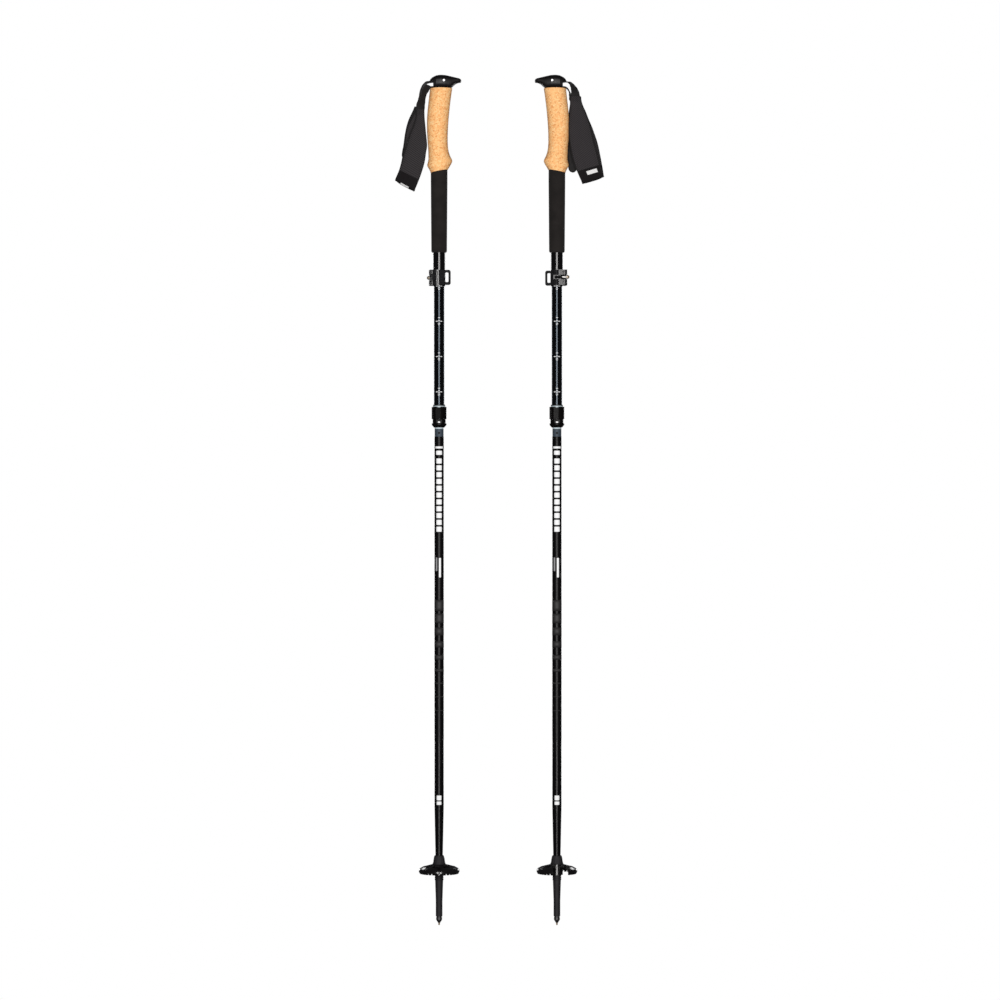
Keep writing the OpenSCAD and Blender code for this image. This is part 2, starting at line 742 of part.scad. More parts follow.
tube_at(1) lock_button();  // right_lock_button
grip_at(1) strap_wedge();  // right_strap_wedge
tube_at(1) seat_ring();  // right_seat_ring
tube_at(1) mid_ferrule();  // right_mid_ferrule
tube_at(1) mid_shaft();  // right_mid_shaft
tube_at(1) low_plug();  // right_low_plug
tube_at(1) low_shaft();  // right_low_shaft
tube_at(1) tension_cord();  // right_tension_cord
tube_at(1) basket(1);  // right_basket
tube_at(1) tip_body();  // right_tip_body
tube_at(1) carbide_tip();  // right_carbide_tip
grip_at(1) strap_band(1);  // right_strap_band
grip_at(1) strap_webbing(1);  // right_strap_webbing
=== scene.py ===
import json
import math

import bmesh
import bpy
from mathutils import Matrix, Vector


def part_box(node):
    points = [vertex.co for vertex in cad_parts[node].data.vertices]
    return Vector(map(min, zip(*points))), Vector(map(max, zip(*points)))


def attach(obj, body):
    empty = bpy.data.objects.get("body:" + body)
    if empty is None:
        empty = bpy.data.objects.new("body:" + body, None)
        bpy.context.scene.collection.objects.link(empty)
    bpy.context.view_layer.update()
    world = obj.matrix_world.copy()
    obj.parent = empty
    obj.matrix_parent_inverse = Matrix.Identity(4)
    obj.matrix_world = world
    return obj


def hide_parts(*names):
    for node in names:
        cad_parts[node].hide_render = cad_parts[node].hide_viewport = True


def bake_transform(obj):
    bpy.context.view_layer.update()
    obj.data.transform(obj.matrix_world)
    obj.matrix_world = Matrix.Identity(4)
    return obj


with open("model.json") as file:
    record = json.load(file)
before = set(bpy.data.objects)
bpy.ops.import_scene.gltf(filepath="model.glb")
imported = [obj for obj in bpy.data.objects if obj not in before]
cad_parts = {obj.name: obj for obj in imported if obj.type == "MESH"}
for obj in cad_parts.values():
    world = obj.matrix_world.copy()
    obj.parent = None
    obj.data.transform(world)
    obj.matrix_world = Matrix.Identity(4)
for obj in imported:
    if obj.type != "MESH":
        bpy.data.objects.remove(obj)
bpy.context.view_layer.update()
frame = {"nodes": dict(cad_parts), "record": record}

scene = bpy.context.scene
MM = 0.001
SIDES = (("left", -1), ("right", 1))


X, Z = 0, 2


def reach(node, axis):
    """The lowest and highest place of a CAD node along an axis, in millimetres."""
    lo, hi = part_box(node)
    return round(lo[axis] / MM, 3), round(hi[axis] / MM, 3)


def middle(node, axis):
    return round(sum(reach(node, axis)) / 2, 4)


def radius_of(node):
    lo, hi = reach(node, X)
    return round((hi - lo) / 2, 4)


# A pole's axis, the lock button's middle, the edge of the lock ring's black lip and the
# ferrule's sight opening, painted as a dark spot of shade, in metres
AXIS_X = middle("right_foam_grip", X) * MM
BUTTON_Z = middle("left_lock_button", Z) * MM
RING_LIP = (reach("left_lock_ring", Z)[1] - 1.6) * MM
HOLE_SHADE_Z = (reach("left_mid_ferrule", Z)[1] - 9) * MM

# Outside radii, in millimetres. The low shaft narrows towards the basket, and its finish goes
# by the mean.
UPPER_R = radius_of("left_upper_shaft")
TUBE_R = radius_of("left_adjust_tube")
MID_R = radius_of("left_mid_shaft")
LOW_R = radius_of("left_low_shaft")
LOW_MEAN_R = LOW_R - 0.35
CORD_R = radius_of("left_tension_cord")


# ---- camera, lights and backdrop -------------------------------------

def link(obj):
    scene.collection.objects.link(obj)
    return obj


# A long lens, level with the middle of the poles and square to the row
camera = link(bpy.data.objects.new("camera", bpy.data.cameras.new("camera")))
camera.location = (0.0028, -4.8, 0.599)
camera.rotation_euler = (math.pi / 2, 0, 0)
camera.data.sensor_width = 36
camera.data.lens = 122.6
camera.data.clip_end = 60
scene.camera = camera
scene.view_settings.view_transform = "Standard"
scene.view_settings.look = "None"

world = bpy.data.worlds.new("world")
world.use_nodes = True
sky = world.node_tree.nodes["Background"]
sky.inputs["Color"].default_value = (0.93, 0.96, 1, 1)
sky.inputs["Strength"].default_value = 0.05
scene.world = world


def softbox(name, place, target, width, height, radiance, colour=(1, 1, 1)):
    """A rectangular lamp, out of the camera's sight, that faces its target."""
    data = bpy.data.lights.new(name, "AREA")
    data.shape = "RECTANGLE"
    data.size, data.size_y = width, height
    data.energy = radiance * math.pi * width * height
    data.color = colour
    lamp = link(bpy.data.objects.new(name, data))
    lamp.location = place
    lamp.rotation_euler = (Vector(target) - Vector(place)).to_track_quat("-Z", "Y").to_euler()
    lamp.visible_camera = False


# Tall strips give the narrow lines of light down the shafts.
POLES_MIDDLE = (0, 0, 0.68)
for k in (-1, 1):
    softbox("front_strip", (0.45 * k, -3.0, 0.75), POLES_MIDDLE, 0.34, 2.5, 20.5,
            (1, 0.985, 0.97))
    softbox("back_strip", (1.25 * k, 2.75, 0.95), POLES_MIDDLE, 0.45, 2.1, 6.5)
softbox("low_panel", (0.0, -0.8, 0.4), (0, -0.3, 1.2), 0.7, 0.3, 0.9)


def glow_material(name):
    """Plain white that gives no light to anything else."""
    m = bpy.data.materials.new(name)
    m.use_nodes = True
    nt = m.node_tree
    nt.nodes.clear()
    glow = nt.nodes.new("ShaderNodeEmission")
    out = nt.nodes.new("ShaderNodeOutputMaterial")
    nt.links.new(glow.outputs[0], out.inputs[0])
    m.cycles.emission_sampling = "NONE"
    return m


def backdrop(name, make, **shape):
    """A pale surface that lights nothing and shows in no reflection."""
    bm = bmesh.new()
    make(bm, **shape)
    mesh = bpy.data.meshes.new(name)
    bm.to_mesh(mesh)
    bm.free()
    obj = link(bpy.data.objects.new(name, mesh))
    mesh.materials.append(glow_material(name + "_white"))
    obj.visible_diffuse = obj.visible_glossy = obj.visible_transmission = False
    obj.visible_shadow = False
    return obj


ROOM_R = 14
floor = backdrop("floor", bmesh.ops.create_circle, cap_ends=True, radius=ROOM_R, segments=96)
floor.location.z = -0.0008
backdrop("dome", bmesh.ops.create_uvsphere, u_segments=64, v_segments=32, radius=ROOM_R)


# ---- small node helpers ----------------------------------------------

class Nodes:
    """A material and short calls that add nodes to it."""

    def __init__(self, name, base, rough, metallic=0.0, **sockets):
        self.m = bpy.data.materials.new(name)
        self.m.use_nodes = True
        self.t = self.m.node_tree
        self.bsdf = self.t.nodes["Principled BSDF"]
        self.set("Base Color", (*base, 1))
        self.set("Roughness", rough)
        self.set("Metallic", metallic)
        for key, value in sockets.items():
            self.set(key.replace("_", " "), value)

    def set(self, socket, value):
        if isinstance(value, bpy.types.NodeSocket):
            self.t.links.new(value, self.bsdf.inputs[socket])
        else:
            self.bsdf.inputs[socket].default_value = value

    def add(self, kind, inputs=(), **props):
        n = self.t.nodes.new("ShaderNode" + kind)
        for key, value in props.items():
            setattr(n, key, value)
        for key, value in dict(inputs).items():
            if isinstance(value, bpy.types.NodeSocket):
                self.t.links.new(value, n.inputs[key])
            else:
                n.inputs[key].default_value = value
        return n

    def math(self, op, a, b=0.0, clamp=False):
        return self.add("Math", {0: a, 1: b}, operation=op, use_clamp=clamp).outputs[0]

    def place(self):
        """The point on the object, in metres."""
        return self.add("TexCoord").outputs["Object"]

    def uv(self):
        return self.add("TexCoord").outputs["UV"]

    def xyz(self, vector):
        n = self.add("SeparateXYZ", {0: vector})
        return n.outputs[0], n.outputs[1], n.outputs[2]

    def from_axis(self, x):
        """How far out x is from the axis of the pole it is on, in metres."""
        return self.math("SUBTRACT", self.math("ABSOLUTE", x), AXIS_X)

    def noise(self, vector, scale, detail=3.0, rough=0.55):
        return self.add("TexNoise", {"Vector": vector, "Scale": scale, "Detail": detail,
                                     "Roughness": rough}).outputs[0]

    def cells(self, vector, scale, feature="F1", out="Distance"):
        return self.add("TexVoronoi", {"Vector": vector, "Scale": scale},
                        feature=feature).outputs[out]

    def ramp(self, value, *stops):
        n = self.add("ValToRGB", {0: value})
        e = n.color_ramp.elements
        while len(e) < len(stops):
            e.new(1.0)
        for i, (at, colour) in enumerate(stops):
            e[i].position = at
            e[i].color = (*colour, 1)
        return n.outputs[0]

    def mix(self, factor, a, b):
        n = self.add("Mix", data_type="RGBA")
        for i, value in ((0, factor), (6, a), (7, b)):
            if isinstance(value, bpy.types.NodeSocket):
                self.t.links.new(value, n.inputs[i])
            elif isinstance(value, tuple):
                n.inputs[i].default_value = (*value, 1)
            else:
                n.inputs[i].default_value = value
        return n.outputs[2]

    def ripple(self, value, pitch):
        """A sine wave along value, one cycle for each pitch."""
        return self.math("SINE", self.math("MULTIPLY", value, 2 * math.pi / pitch))

    def span(self, value, lo, hi, to_lo, to_hi):
        return self.add("MapRange", {0: value, 1: lo, 2: hi, 3: to_lo, 4: to_hi}).outputs[0]

    def vary_rough(self, noise, lo, hi):
        """Roughness from lo to hi over the middle of a noise."""
        self.set("Roughness", self.span(noise, 0.3, 0.7, lo, hi))

    def bump(self, height, strength, distance):
        n = self.add("Bump", {"Height": height, "Strength": strength, "Distance": distance})
        old = self.bsdf.inputs["Normal"].links
        if old:
            self.t.links.new(old[0].from_socket, n.inputs["Normal"])
        self.set("Normal", n.outputs[0])

    def round_shaft(self, side, radius):
        """Distance along the circumference and height, in metres, on a shaft of one pole."""
        x, y, z = self.xyz(self.place())
        turn = self.math("ARCTAN2", y, self.math("SUBTRACT", x, side * AXIS_X))
        return self.math("MULTIPLY", turn, radius), z


# ---- materials -------------------------------------------------------

def lacquered(name, side, radius, base, rough, coat, shine, tint, wear=0.015):
    """Carbon tube under lacquer: a faint woven ground, orange peel and hair-fine scuffs."""
    n = Nodes(name, base, rough, Coat_Weight=coat, Coat_Roughness=0.06,
              Specular_IOR_Level=shine, Specular_Tint=(*tint, 1), Coat_Tint=(*tint, 1))
    u, z = n.round_shaft(side, radius)
    tow = 0.0011
    a = n.ripple(n.math("ADD", u, z), 2 * tow)
    b = n.ripple(n.math("SUBTRACT", u, z), 2 * tow)
    weave = n.math("GREATER_THAN", n.math("MULTIPLY", a, b), 0.0)
    haze = n.noise(n.place(), 70, 2)
    ground = n.mix(weave, tuple(c * 0.55 for c in base), tuple(c * 1.5 for c in base))
    n.set("Base Color", n.mix(n.math("MULTIPLY", haze, 0.35), ground, base))
    streak = n.add("Mapping", {"Vector": n.place(), "Scale": (900, 900, 28)}).outputs[0]
    fine = n.noise(streak, 1.0, 4, 0.7)
    n.set("Roughness", n.span(fine, 0.45, 0.75, rough, rough + wear))
    n.bump(n.noise(n.place(), 420, 2), 0.05, 0.0002)
    return n.m


def moulded(name, base, rough, grain=1400, depth=0.25, spread=0.18, **sockets):
    """Moulded nylon: fine grain, slight mottle, and roughness that varies with the grain."""
    n = Nodes(name, base, rough, **sockets)
    mottle = n.noise(n.place(), 160, 4)
    n.set("Base Color", n.mix(n.span(mottle, 0.3, 0.7, 0, 1), tuple(c * 0.8 for c in base),
                              tuple(c * 1.25 for c in base)))
    fine = n.noise(n.place(), grain, 3, 0.65)
    n.vary_rough(fine, rough - spread / 2, rough + spread / 2)
    n.bump(fine, depth, 0.00012)
    return n.m


def metal(name, base, rough, metallic=1.0, turned=0.0, grain=900):
    """Turned or anodised metal with fine machining lines and tiny pits."""
    n = Nodes(name, base, rough, metallic)
    fine = n.noise(n.place(), grain, 3)
    n.vary_rough(fine, rough * 0.75, rough * 1.3)
    n.set("Base Color", n.mix(n.noise(n.place(), 240, 3), tuple(c * 0.88 for c in base),
                              tuple(min(1, c * 1.1) for c in base)))
    if turned:
        n.bump(n.ripple(n.xyz(n.place())[2], turned), 0.25, 0.00004)
    n.bump(fine, 0.12, 0.00005)
    return n.m


def cork():
    """Pressed cork granules: pale to brown grains, darker seams, small bark-brown flecks, and
    painted shade that turns the grain darker and more orange towards the outline.
    """
    n = Nodes("cork_pressed", (0.7, 0.4, 0.17), 0.78, Specular_IOR_Level=0.28)
    warp = n.add("VectorMath", {0: n.place(), 1: n.add("VectorMath", {
        0: n.add("TexNoise", {"Vector": n.place(), "Scale": 520.0, "Detail": 2.0}).outputs[1],
        "Scale": 0.0009}, operation="SCALE").outputs[0]}, operation="ADD").outputs[0]
    grain = n.cells(warp, 520, out="Color")
    shade = n.xyz(grain)[0]
    tone = n.ramp(shade, (0.0, (0.74, 0.31, 0.10)), (0.16, (0.93, 0.46, 0.175)),
                  (0.6, (1.0, 0.565, 0.235)), (1.0, (1.0, 0.66, 0.32)))
    seams = n.cells(warp, 520, "DISTANCE_TO_EDGE")
    seam_mask = n.span(seams, 0.0, 0.08, 0.34, 0.0)
    tone = n.mix(seam_mask, tone, (0.55, 0.25, 0.09))
    flecks = n.cells(n.place(), 360, out="Distance")
    fleck_mask = n.span(flecks, 0.1, 0.2, 0.85, 0.0)
    tone = n.mix(fleck_mask, tone, (0.40, 0.165, 0.055))
    clouds = n.noise(n.place(), 42, 3)
    tone = n.mix(n.span(clouds, 0.35, 0.7, 0.0, 0.16), tone, (0.8, 0.37, 0.13))
    # Painted shade: the colour darkens and turns orange towards the cork's outline, by the facing
    # angle to the camera.
    facing = n.add("LayerWeight", {"Blend": 0.42}).outputs["Facing"]
    n.set("Base Color", n.mix(n.span(facing, 0.35, 1.0, 0.0, 0.3), tone, (0.78, 0.3, 0.08)))
    n.set("Roughness", n.span(shade, 0, 1, 0.85, 0.68))
    n.bump(n.span(seams, 0.0, 0.14, 0.0, 1.0), 0.5, 0.00025)
    n.bump(n.noise(n.place(), 2200, 3), 0.25, 0.00012)
    return n.m


def foam():
    """Closed-cell foam: matt, pitted, with a slight dusty sheen."""
    n = Nodes("foam_closed_cell", (0.012, 0.0102, 0.0095), 0.88, Sheen_Weight=0.03,
              Sheen_Roughness=0.6, Specular_IOR_Level=0.14)
    pores = n.cells(n.place(), 1300, out="Distance")
    clouds = n.noise(n.place(), 60, 4)
    n.set("Base Color", n.mix(n.span(clouds, 0.3, 0.7, 0, 1), (0.0095, 0.008, 0.0075),
                              (0.0165, 0.014, 0.013)))
    n.bump(n.span(pores, 0.0, 0.45, 0.0, 1.0), 0.5, 0.0002)
    n.bump(n.noise(n.place(), 3200, 2), 0.3, 0.0001)
    return n.m


def webbing():
    """Flat woven webbing: ribs across the strap and a thread pattern along it. UV is in metres."""
    n = Nodes("webbing_woven", (0.02, 0.018, 0.019), 0.7, Sheen_Weight=0.06,
              Sheen_Roughness=0.45, Specular_IOR_Level=0.25)
    u, v, _ = n.xyz(n.uv())
    rib = n.math("ABSOLUTE", n.ripple(v, 0.0018))
    warp = n.math("ABSOLUTE", n.ripple(u, 0.0016))
    step = n.math("PINGPONG", n.math("ADD", n.math("MULTIPLY", v, 1 / 0.0018),
                                     n.math("FLOOR", n.math("MULTIPLY", u, 1 / 0.0008))), 1.0)
    height = n.math("ADD", n.math("MULTIPLY", rib, warp), n.math("MULTIPLY", step, 0.4))
    n.set("Base Color", n.mix(n.span(height, 0.1, 1.2, 0, 1), (0.003, 0.0026, 0.0028),
                              (0.0155, 0.0138, 0.0145)))
    n.set("Roughness", n.span(n.noise(n.place(), 1800, 2), 0.3, 0.7, 0.6, 0.8))
    n.bump(height, 0.55, 0.00022)
    return n.m


def twill():
    """Padded facing cloth in a bold diagonal twill, over a darker ground. UV is in metres."""
    n = Nodes("band_twill", (0.028, 0.025, 0.027), 0.78, Sheen_Weight=0.06,
              Sheen_Roughness=0.5, Specular_IOR_Level=0.2)
    u, v, _ = n.xyz(n.uv())
    wobble = n.math("MULTIPLY", n.noise(n.place(), 260, 2), 0.0004)
    across = n.math("ADD", n.math("ADD", n.math("MULTIPLY", u, 0.72), n.math("MULTIPLY", v, 0.70)),
                    wobble)
    along = n.math("SUBTRACT", n.math("MULTIPLY", u, 0.70), n.math("MULTIPLY", v, 0.72))
    cord_line = n.math("ABSOLUTE", n.ripple(across, 0.0042))
    thread = n.math("ABSOLUTE", n.ripple(along, 0.0018))
    height = n.math("ADD", cord_line, n.math("MULTIPLY", thread, 0.22))
    n.set("Base Color", n.mix(n.span(height, 0.15, 1.1, 0, 1), (0.0014, 0.0011, 0.0012),
                              (0.036, 0.0316, 0.0345)))
    n.set("Roughness", n.span(n.noise(n.place(), 1500, 2), 0.3, 0.7, 0.68, 0.86))
    n.bump(height, 0.7, 0.0004)
    return n.m


def plain_weave(name, base, pitch=0.0007):
    """Close plain-woven cloth. UV is in metres."""
    n = Nodes(name, base, 0.82, Sheen_Weight=0.03, Sheen_Roughness=0.5,
              Specular_IOR_Level=0.16)
    u, v, _ = n.xyz(n.uv())
    height = n.math("MULTIPLY", n.ripple(u, pitch), n.ripple(v, pitch))
    n.set("Base Color", n.mix(n.span(height, -1, 1, 0, 1), tuple(c * 0.7 for c in base),
                              tuple(c * 1.35 for c in base)))
    n.set("Roughness", n.span(n.noise(n.place(), 1500, 2), 0.3, 0.7, 0.74, 0.9))
    n.bump(height, 0.45, 0.00018)
    return n.m


def braid():
    """Braided cord cover, paler on the crests of its threads."""
    n = Nodes("cord_braid", (0.03, 0.03, 0.032), 0.7, Sheen_Weight=0.3)
    turn = n.math("MULTIPLY", n.xyz(n.uv())[0], 16 * math.pi)
    along = n.math("MULTIPLY", n.xyz(n.uv())[1], 2 * math.pi / 0.003)
    a = n.math("SINE", n.math("ADD", turn, along))
    b = n.math("SINE", n.math("SUBTRACT", turn, along))
    height = n.math("MAXIMUM", a, b)
    n.set("Base Color", n.mix(n.span(height, -0.2, 1, 0, 1), (0.012, 0.012, 0.013),
                              (0.06, 0.06, 0.064)))
    n.bump(height, 0.5, 0.0002)
    return n.m


def printed(name, colour, rough=0.5):
    """Ink on lacquer, slightly uneven in its cover."""
    n = Nodes(name, colour, rough)
    cover = n.noise(n.place(), 900, 4, 0.7)
    n.set("Base Color", n.mix(n.span(cover, 0.25, 0.6, 0, 1), tuple(c * 0.86 for c in colour),
                              colour))
    n.vary_rough(cover, rough - 0.08, rough + 0.12)
    n.bump(cover, 0.1, 0.00003)
    return n.m


def holder():
    """Carbide point: dark steel holder above, a brazed brown carbide pin at the very tip."""
    n = Nodes("carbide_holder", (0.05, 0.048, 0.05), 0.3, 0.7)
    scuff = n.noise(n.place(), 900, 4, 0.7)
    edge = n.math("ADD", n.xyz(n.place())[2], n.math("MULTIPLY", scuff, 0.0016))
    bare = n.span(edge, 0.0042, 0.0048, 1, 0)
    n.set("Base Color", n.mix(bare, n.mix(scuff, (0.03, 0.03, 0.032), (0.075, 0.073, 0.075)),
                              n.mix(scuff, (0.2, 0.13, 0.07), (0.32, 0.23, 0.13))))
    n.vary_rough(scuff, 0.28, 0.5)
    n.bump(scuff, 0.3, 0.0001)
    return n.m


def clamp_black(name, rough, shine):
    """Anodised alloy whose sharp edges are painted lighter: a painted edge highlight, patchy like
    rubbed wear.
    """
    n = Nodes(name, (0.003, 0.0028, 0.0031), rough, 0.0, Coat_Weight=0.1,
              Coat_Roughness=0.04, Specular_IOR_Level=shine)
    fine = n.noise(n.place(), 700, 4, 0.65)
    edge = n.add("NewGeometry").outputs["Pointiness"]
    # Painted highlight, partly rubbed wear: sharp edges found by pointiness get a lighter, patchy
    # colour.
    edge_rub_and_highlight = n.math("MULTIPLY", n.span(edge, 0.56, 0.66, 0, 1), n.span(fine, 0.4, 0.65, 0.15, 0.8))
    n.set("Base Color", n.mix(edge_rub_and_highlight, (0.003, 0.0028, 0.0031), (0.03, 0.03, 0.032)))
    n.vary_rough(fine, rough * 0.96, rough * 1.1)
    n.bump(fine, 0.02, 0.00005)
    return n.m


def screw_steel():
    """Screw steel, near black out to about 7.2 mm from the pole's axis and bright past 7.5 mm, at
    the barrel beside its nut.
    """
    n = Nodes("screw_steel", (0.5, 0.5, 0.51), 0.34, 1.0)
    x = n.xyz(n.place())[0]
    away = n.math("ABSOLUTE", n.from_axis(x))
    bright = n.span(away, 0.0072, 0.0075, 0, 1)
    fine = n.noise(n.place(), 900, 3)
    n.set("Base Color", n.mix(bright, (0.006, 0.006, 0.0063),
                              n.mix(fine, (0.2, 0.195, 0.19), (0.34, 0.33, 0.32))))
    n.vary_rough(fine, 0.26, 0.42)
    n.bump(n.ripple(x, 0.0006), 0.3, 0.00005)
    return n.m


def near_front(n, z_mid, half_wide, half_tall, soft=0.0002):
    """1 inside a small rounded box at the front of either pole, 0 outside it."""
    x, y, z = n.xyz(n.place())
    a = n.math("POWER", n.math("ABSOLUTE", n.math("DIVIDE", n.from_axis(x), half_wide)), 3.0)
    b = n.math("POWER", n.math("ABSOLUTE", n.math(
        "DIVIDE", n.math("SUBTRACT", z, z_mid), half_tall)), 3.0)
    inside = n.span(n.math("ADD", a, b), 1.0 - soft / half_tall, 1.0 + soft / half_tall, 1, 0)
    return n.math("MULTIPLY", inside, n.math("LESS_THAN", y, 0.0))


def lock_push():
    """Dark push button with a painted glint: a small pale spot on the front of its face."""
    n = Nodes("button_dark", (0.01, 0.01, 0.01), 0.4, 0.2)
    # Painted highlight: a small pale spot at the button's front stands in for a glint.
    painted_glint = near_front(n, BUTTON_Z, 0.0015, 0.0008)
    fine = n.noise(n.place(), 900, 3)
    n.set("Base Color", n.mix(painted_glint, (0.006, 0.006, 0.0063),
                              n.mix(fine, (0.5, 0.5, 0.5), (0.66, 0.66, 0.66))))
    n.vary_rough(fine, 0.35, 0.5)
    n.bump(fine, 0.1, 0.00005)
    return n.m


def lock_collar_ring():
    """Pale ring with a blackened upper lip, faintly mottled."""
    n = Nodes("ring_pale", (0.42, 0.5, 0.54), 0.42, Specular_IOR_Level=0.25)
    fine = n.noise(n.place(), 1400, 3, 0.65)
    lip = n.span(n.xyz(n.place())[2], RING_LIP - 0.0001, RING_LIP + 0.0001, 0, 1)
    pale = n.mix(n.noise(n.place(), 160, 4), (0.36, 0.44, 0.48), (0.5, 0.57, 0.6))
    n.set("Base Color", n.mix(lip, pale, (0.006, 0.006, 0.0065)))
    n.vary_rough(fine, 0.36, 0.48)
    n.bump(fine, 0.08, 0.00012)
    return n.m


def ferrule():
    """Blue-grey anodised ferrule; its sight opening at the front is painted in as a near black
    spot of shade.
    """
    n = Nodes("ferrule_anodised", (0.045, 0.06, 0.078), 0.55, 0.15, Specular_IOR_Level=0.25)
    # Painted shade: a near black spot at the front stands in for the dark inside of the sight
    # opening.
    hole_shade = near_front(n, HOLE_SHADE_Z, 0.0015, 0.0015)
    fine = n.noise(n.place(), 900, 3)
    tone = n.mix(n.noise(n.place(), 240, 3), (0.037, 0.05, 0.066), (0.05, 0.067, 0.086))
    n.set("Base Color", n.mix(hole_shade, tone, (0.002, 0.002, 0.002)))
    n.vary_rough(fine, 0.45, 0.7)
    n.bump(n.ripple(n.xyz(n.place())[2], 0.0005), 0.25, 0.00004)
    n.bump(fine, 0.12, 0.00005)
    return n.m


made = {
    "plastic": moulded("head_nylon", (0.006, 0.005, 0.0055), 0.44, depth=0.12, spread=0.06,
                       Specular_IOR_Level=0.3),
    "cap": moulded("cap_nylon", (0.006, 0.005, 0.0055), 0.26, depth=0.1, spread=0.1,
                   Specular_IOR_Level=0.3),
    "pin": metal("pin_steel", (0.5, 0.5, 0.51), 0.42, turned=0.0004),
    "webbing": webbing(),
    "band": twill(),
    "cork": cork(),
    "foam": foam(),
    "clamp": clamp_black("clamp_gloss", 0.08, 0.3),
    "collar": clamp_black("clamp_satin", 0.22, 0.42),
    "screw": screw_steel(),
    "nut": metal("nut_plated", (0.3, 0.25, 0.19), 0.42, 0.6),
    "lock": moulded("lock_nylon", (0.0035, 0.003, 0.003), 0.26, depth=0.06, spread=0.1,
                    Specular_IOR_Level=0.06),
    "button": lock_push(),
    "ring": lock_collar_ring(),
    "ferrule": ferrule(),
    "plug": metal("plug_turned", (0.62, 0.63, 0.65), 0.3, turned=0.0005),
    "cord": braid(),
    "basket": moulded("basket_nylon", (0.005, 0.0043, 0.0048), 0.17, grain=900, depth=0.05,
                      spread=0.04, Specular_IOR_Level=0.5),
    "tip": moulded("tip_nylon", (0.0135, 0.0125, 0.0145), 0.6, grain=1700, depth=0.3,
                   Specular_IOR_Level=0.2),
    "carbide": holder(),
}
SHAFTS = {  # radius, base, roughness, coat, specular level, tint of the gloss
    "upper_shaft": (UPPER_R, 0.0022, 0.12, 0.42, 0.3, (1, 1, 1)),
    "adjust_tube": (TUBE_R, 0.0022, 0.1, 0.3, 0.2, (0.62, 0.82, 1)),
    "mid_shaft": (MID_R, 0.003, 0.3, 0.0, 0.12, (1, 1, 1)),
    "low_shaft": (LOW_MEAN_R, 0.0032, 0.22, 0.03, 0.12, (1, 1, 1)),
}
OWN_MATERIAL = {"clamp_screw": "screw", "clamp_collar": "collar"}


def node_material(node, slot):
    """A CAD node's material: shafts have one each, and the rest go by part or by slot."""
    pole, part = node.split("_", 1)
    if part not in SHAFTS:
        return made[OWN_MATERIAL.get(part, slot)]
    radius, base, *look = SHAFTS[part]
    return lacquered(node + "_lacquer", dict(SIDES)[pole], radius * MM,
                     (base, base * 0.9, base), *look)


for item in frame["record"]["subparts"]:
    mesh = frame["nodes"][item["node"]].data
    mesh.materials.clear()
    mesh.materials.append(node_material(item["node"], item["material_slot"]))
    for face in mesh.polygons:
        face.material_index = 0


# ---- small mesh helpers ----------------------------------------------

def to_row(side, x, y, z):
    """A point given in a grip group's own frame, in millimetres, as a point in the row frame."""
    k = 1 if side < 0 else -1
    return Vector((side * AXIS_X + k * x * MM, k * y * MM, z * MM))


def mesh_piece(name, verts, faces, uvs, material):
    """A smooth mesh object with its faces turned outwards. uvs go by vertex, or are None."""
    mesh = bpy.data.meshes.new(name)
    mesh.from_pydata([tuple(v) for v in verts], [], faces)
    if uvs:
        layer = mesh.uv_layers.new(name="UVMap")
        for loop in mesh.loops:
            layer.data[loop.index].uv = uvs[loop.vertex_index]
    for poly in mesh.polygons:
        poly.use_smooth = True
    mesh.materials.append(material)
    mesh.update()
    bm = bmesh.new()
    bm.from_mesh(mesh)
    bmesh.ops.recalc_face_normals(bm, faces=bm.faces)
    bm.to_mesh(mesh)
    bm.free()
    return link(bpy.data.objects.new(name, mesh))


def tube_faces(rings, n, base=0):
    """Faces of a closed tube. Its vertices run ring by ring from base, n to a ring."""
    faces = []
    for i in range(rings - 1):
        for k in range(n):
            a, b = base + i * n + k, base + i * n + (k + 1) % n
            faces.append((a, b, b + n, a + n))
    last = base + (rings - 1) * n
    return faces + [tuple(range(base, base + n)), tuple(range(last, last + n))]


def shell_faces(rows, cols, base=0):
    """Faces of a thin closed sheet: two grids of vertices, one over the other, and a rim."""
    m, n = cols + 1, (rows + 1) * (cols + 1)
    faces = []
    for layer in (0, 1):
        for i in range(rows):
            for j in range(cols):
                a = base + layer * n + i * m + j
                quad = (a, a + 1, a + m + 1, a + m)
                faces.append(quad if layer else quad[::-1])
    rim = (list(range(m)) + [(i + 1) * m + cols for i in range(rows)]
           + [rows * m + cols - 1 - j for j in range(cols)]
           + [(rows - 1 - i) * m for i in range(rows - 1)])
    for a, b in zip(rim, rim[1:] + rim[:1]):
        faces.append((base + a, base + b, base + b + n, base + a + n))
    return faces


def running(points):
    """The distance along the points up to each of them."""
    run = [0.0]
    for p, q in zip(points, points[1:]):
        run.append(run[-1] + (q - p).length)
    return run


def length_of(points):
    return running(points)[-1]


def spline(knots, count):
    """count points along a smooth curve through the knots, spaced evenly by length."""
    pts = [Vector(k) for k in knots]
    fine = []
    for i in range(len(pts) - 1):
        a, b, c, d = pts[max(i - 1, 0)], pts[i], pts[i + 1], pts[min(i + 2, len(pts) - 1)]
        for k in range(24):
            t = k / 24
            fine.append(0.5 * ((2 * b) + (c - a) * t + (2 * a - 5 * b + 4 * c - d) * t ** 2
                               + (3 * b - a - 3 * c + d) * t ** 3))
    fine.append(pts[-1])
    run = running(fine)
    out, j = [], 0
    for k in range(count):
        want = run[-1] * k / (count - 1)
        while j < len(run) - 2 and run[j + 1] < want:
            j += 1
        f = (want - run[j]) / max(run[j + 1] - run[j], 1e-12)
        out.append(fine[j].lerp(fine[j + 1], min(max(f, 0), 1)))
    return out


def smooth_step(t):
    t = min(max(t, 0.0), 1.0)
    return t * t * (3 - 2 * t)


WEB_W, WEB_T = 12.0, 1.5


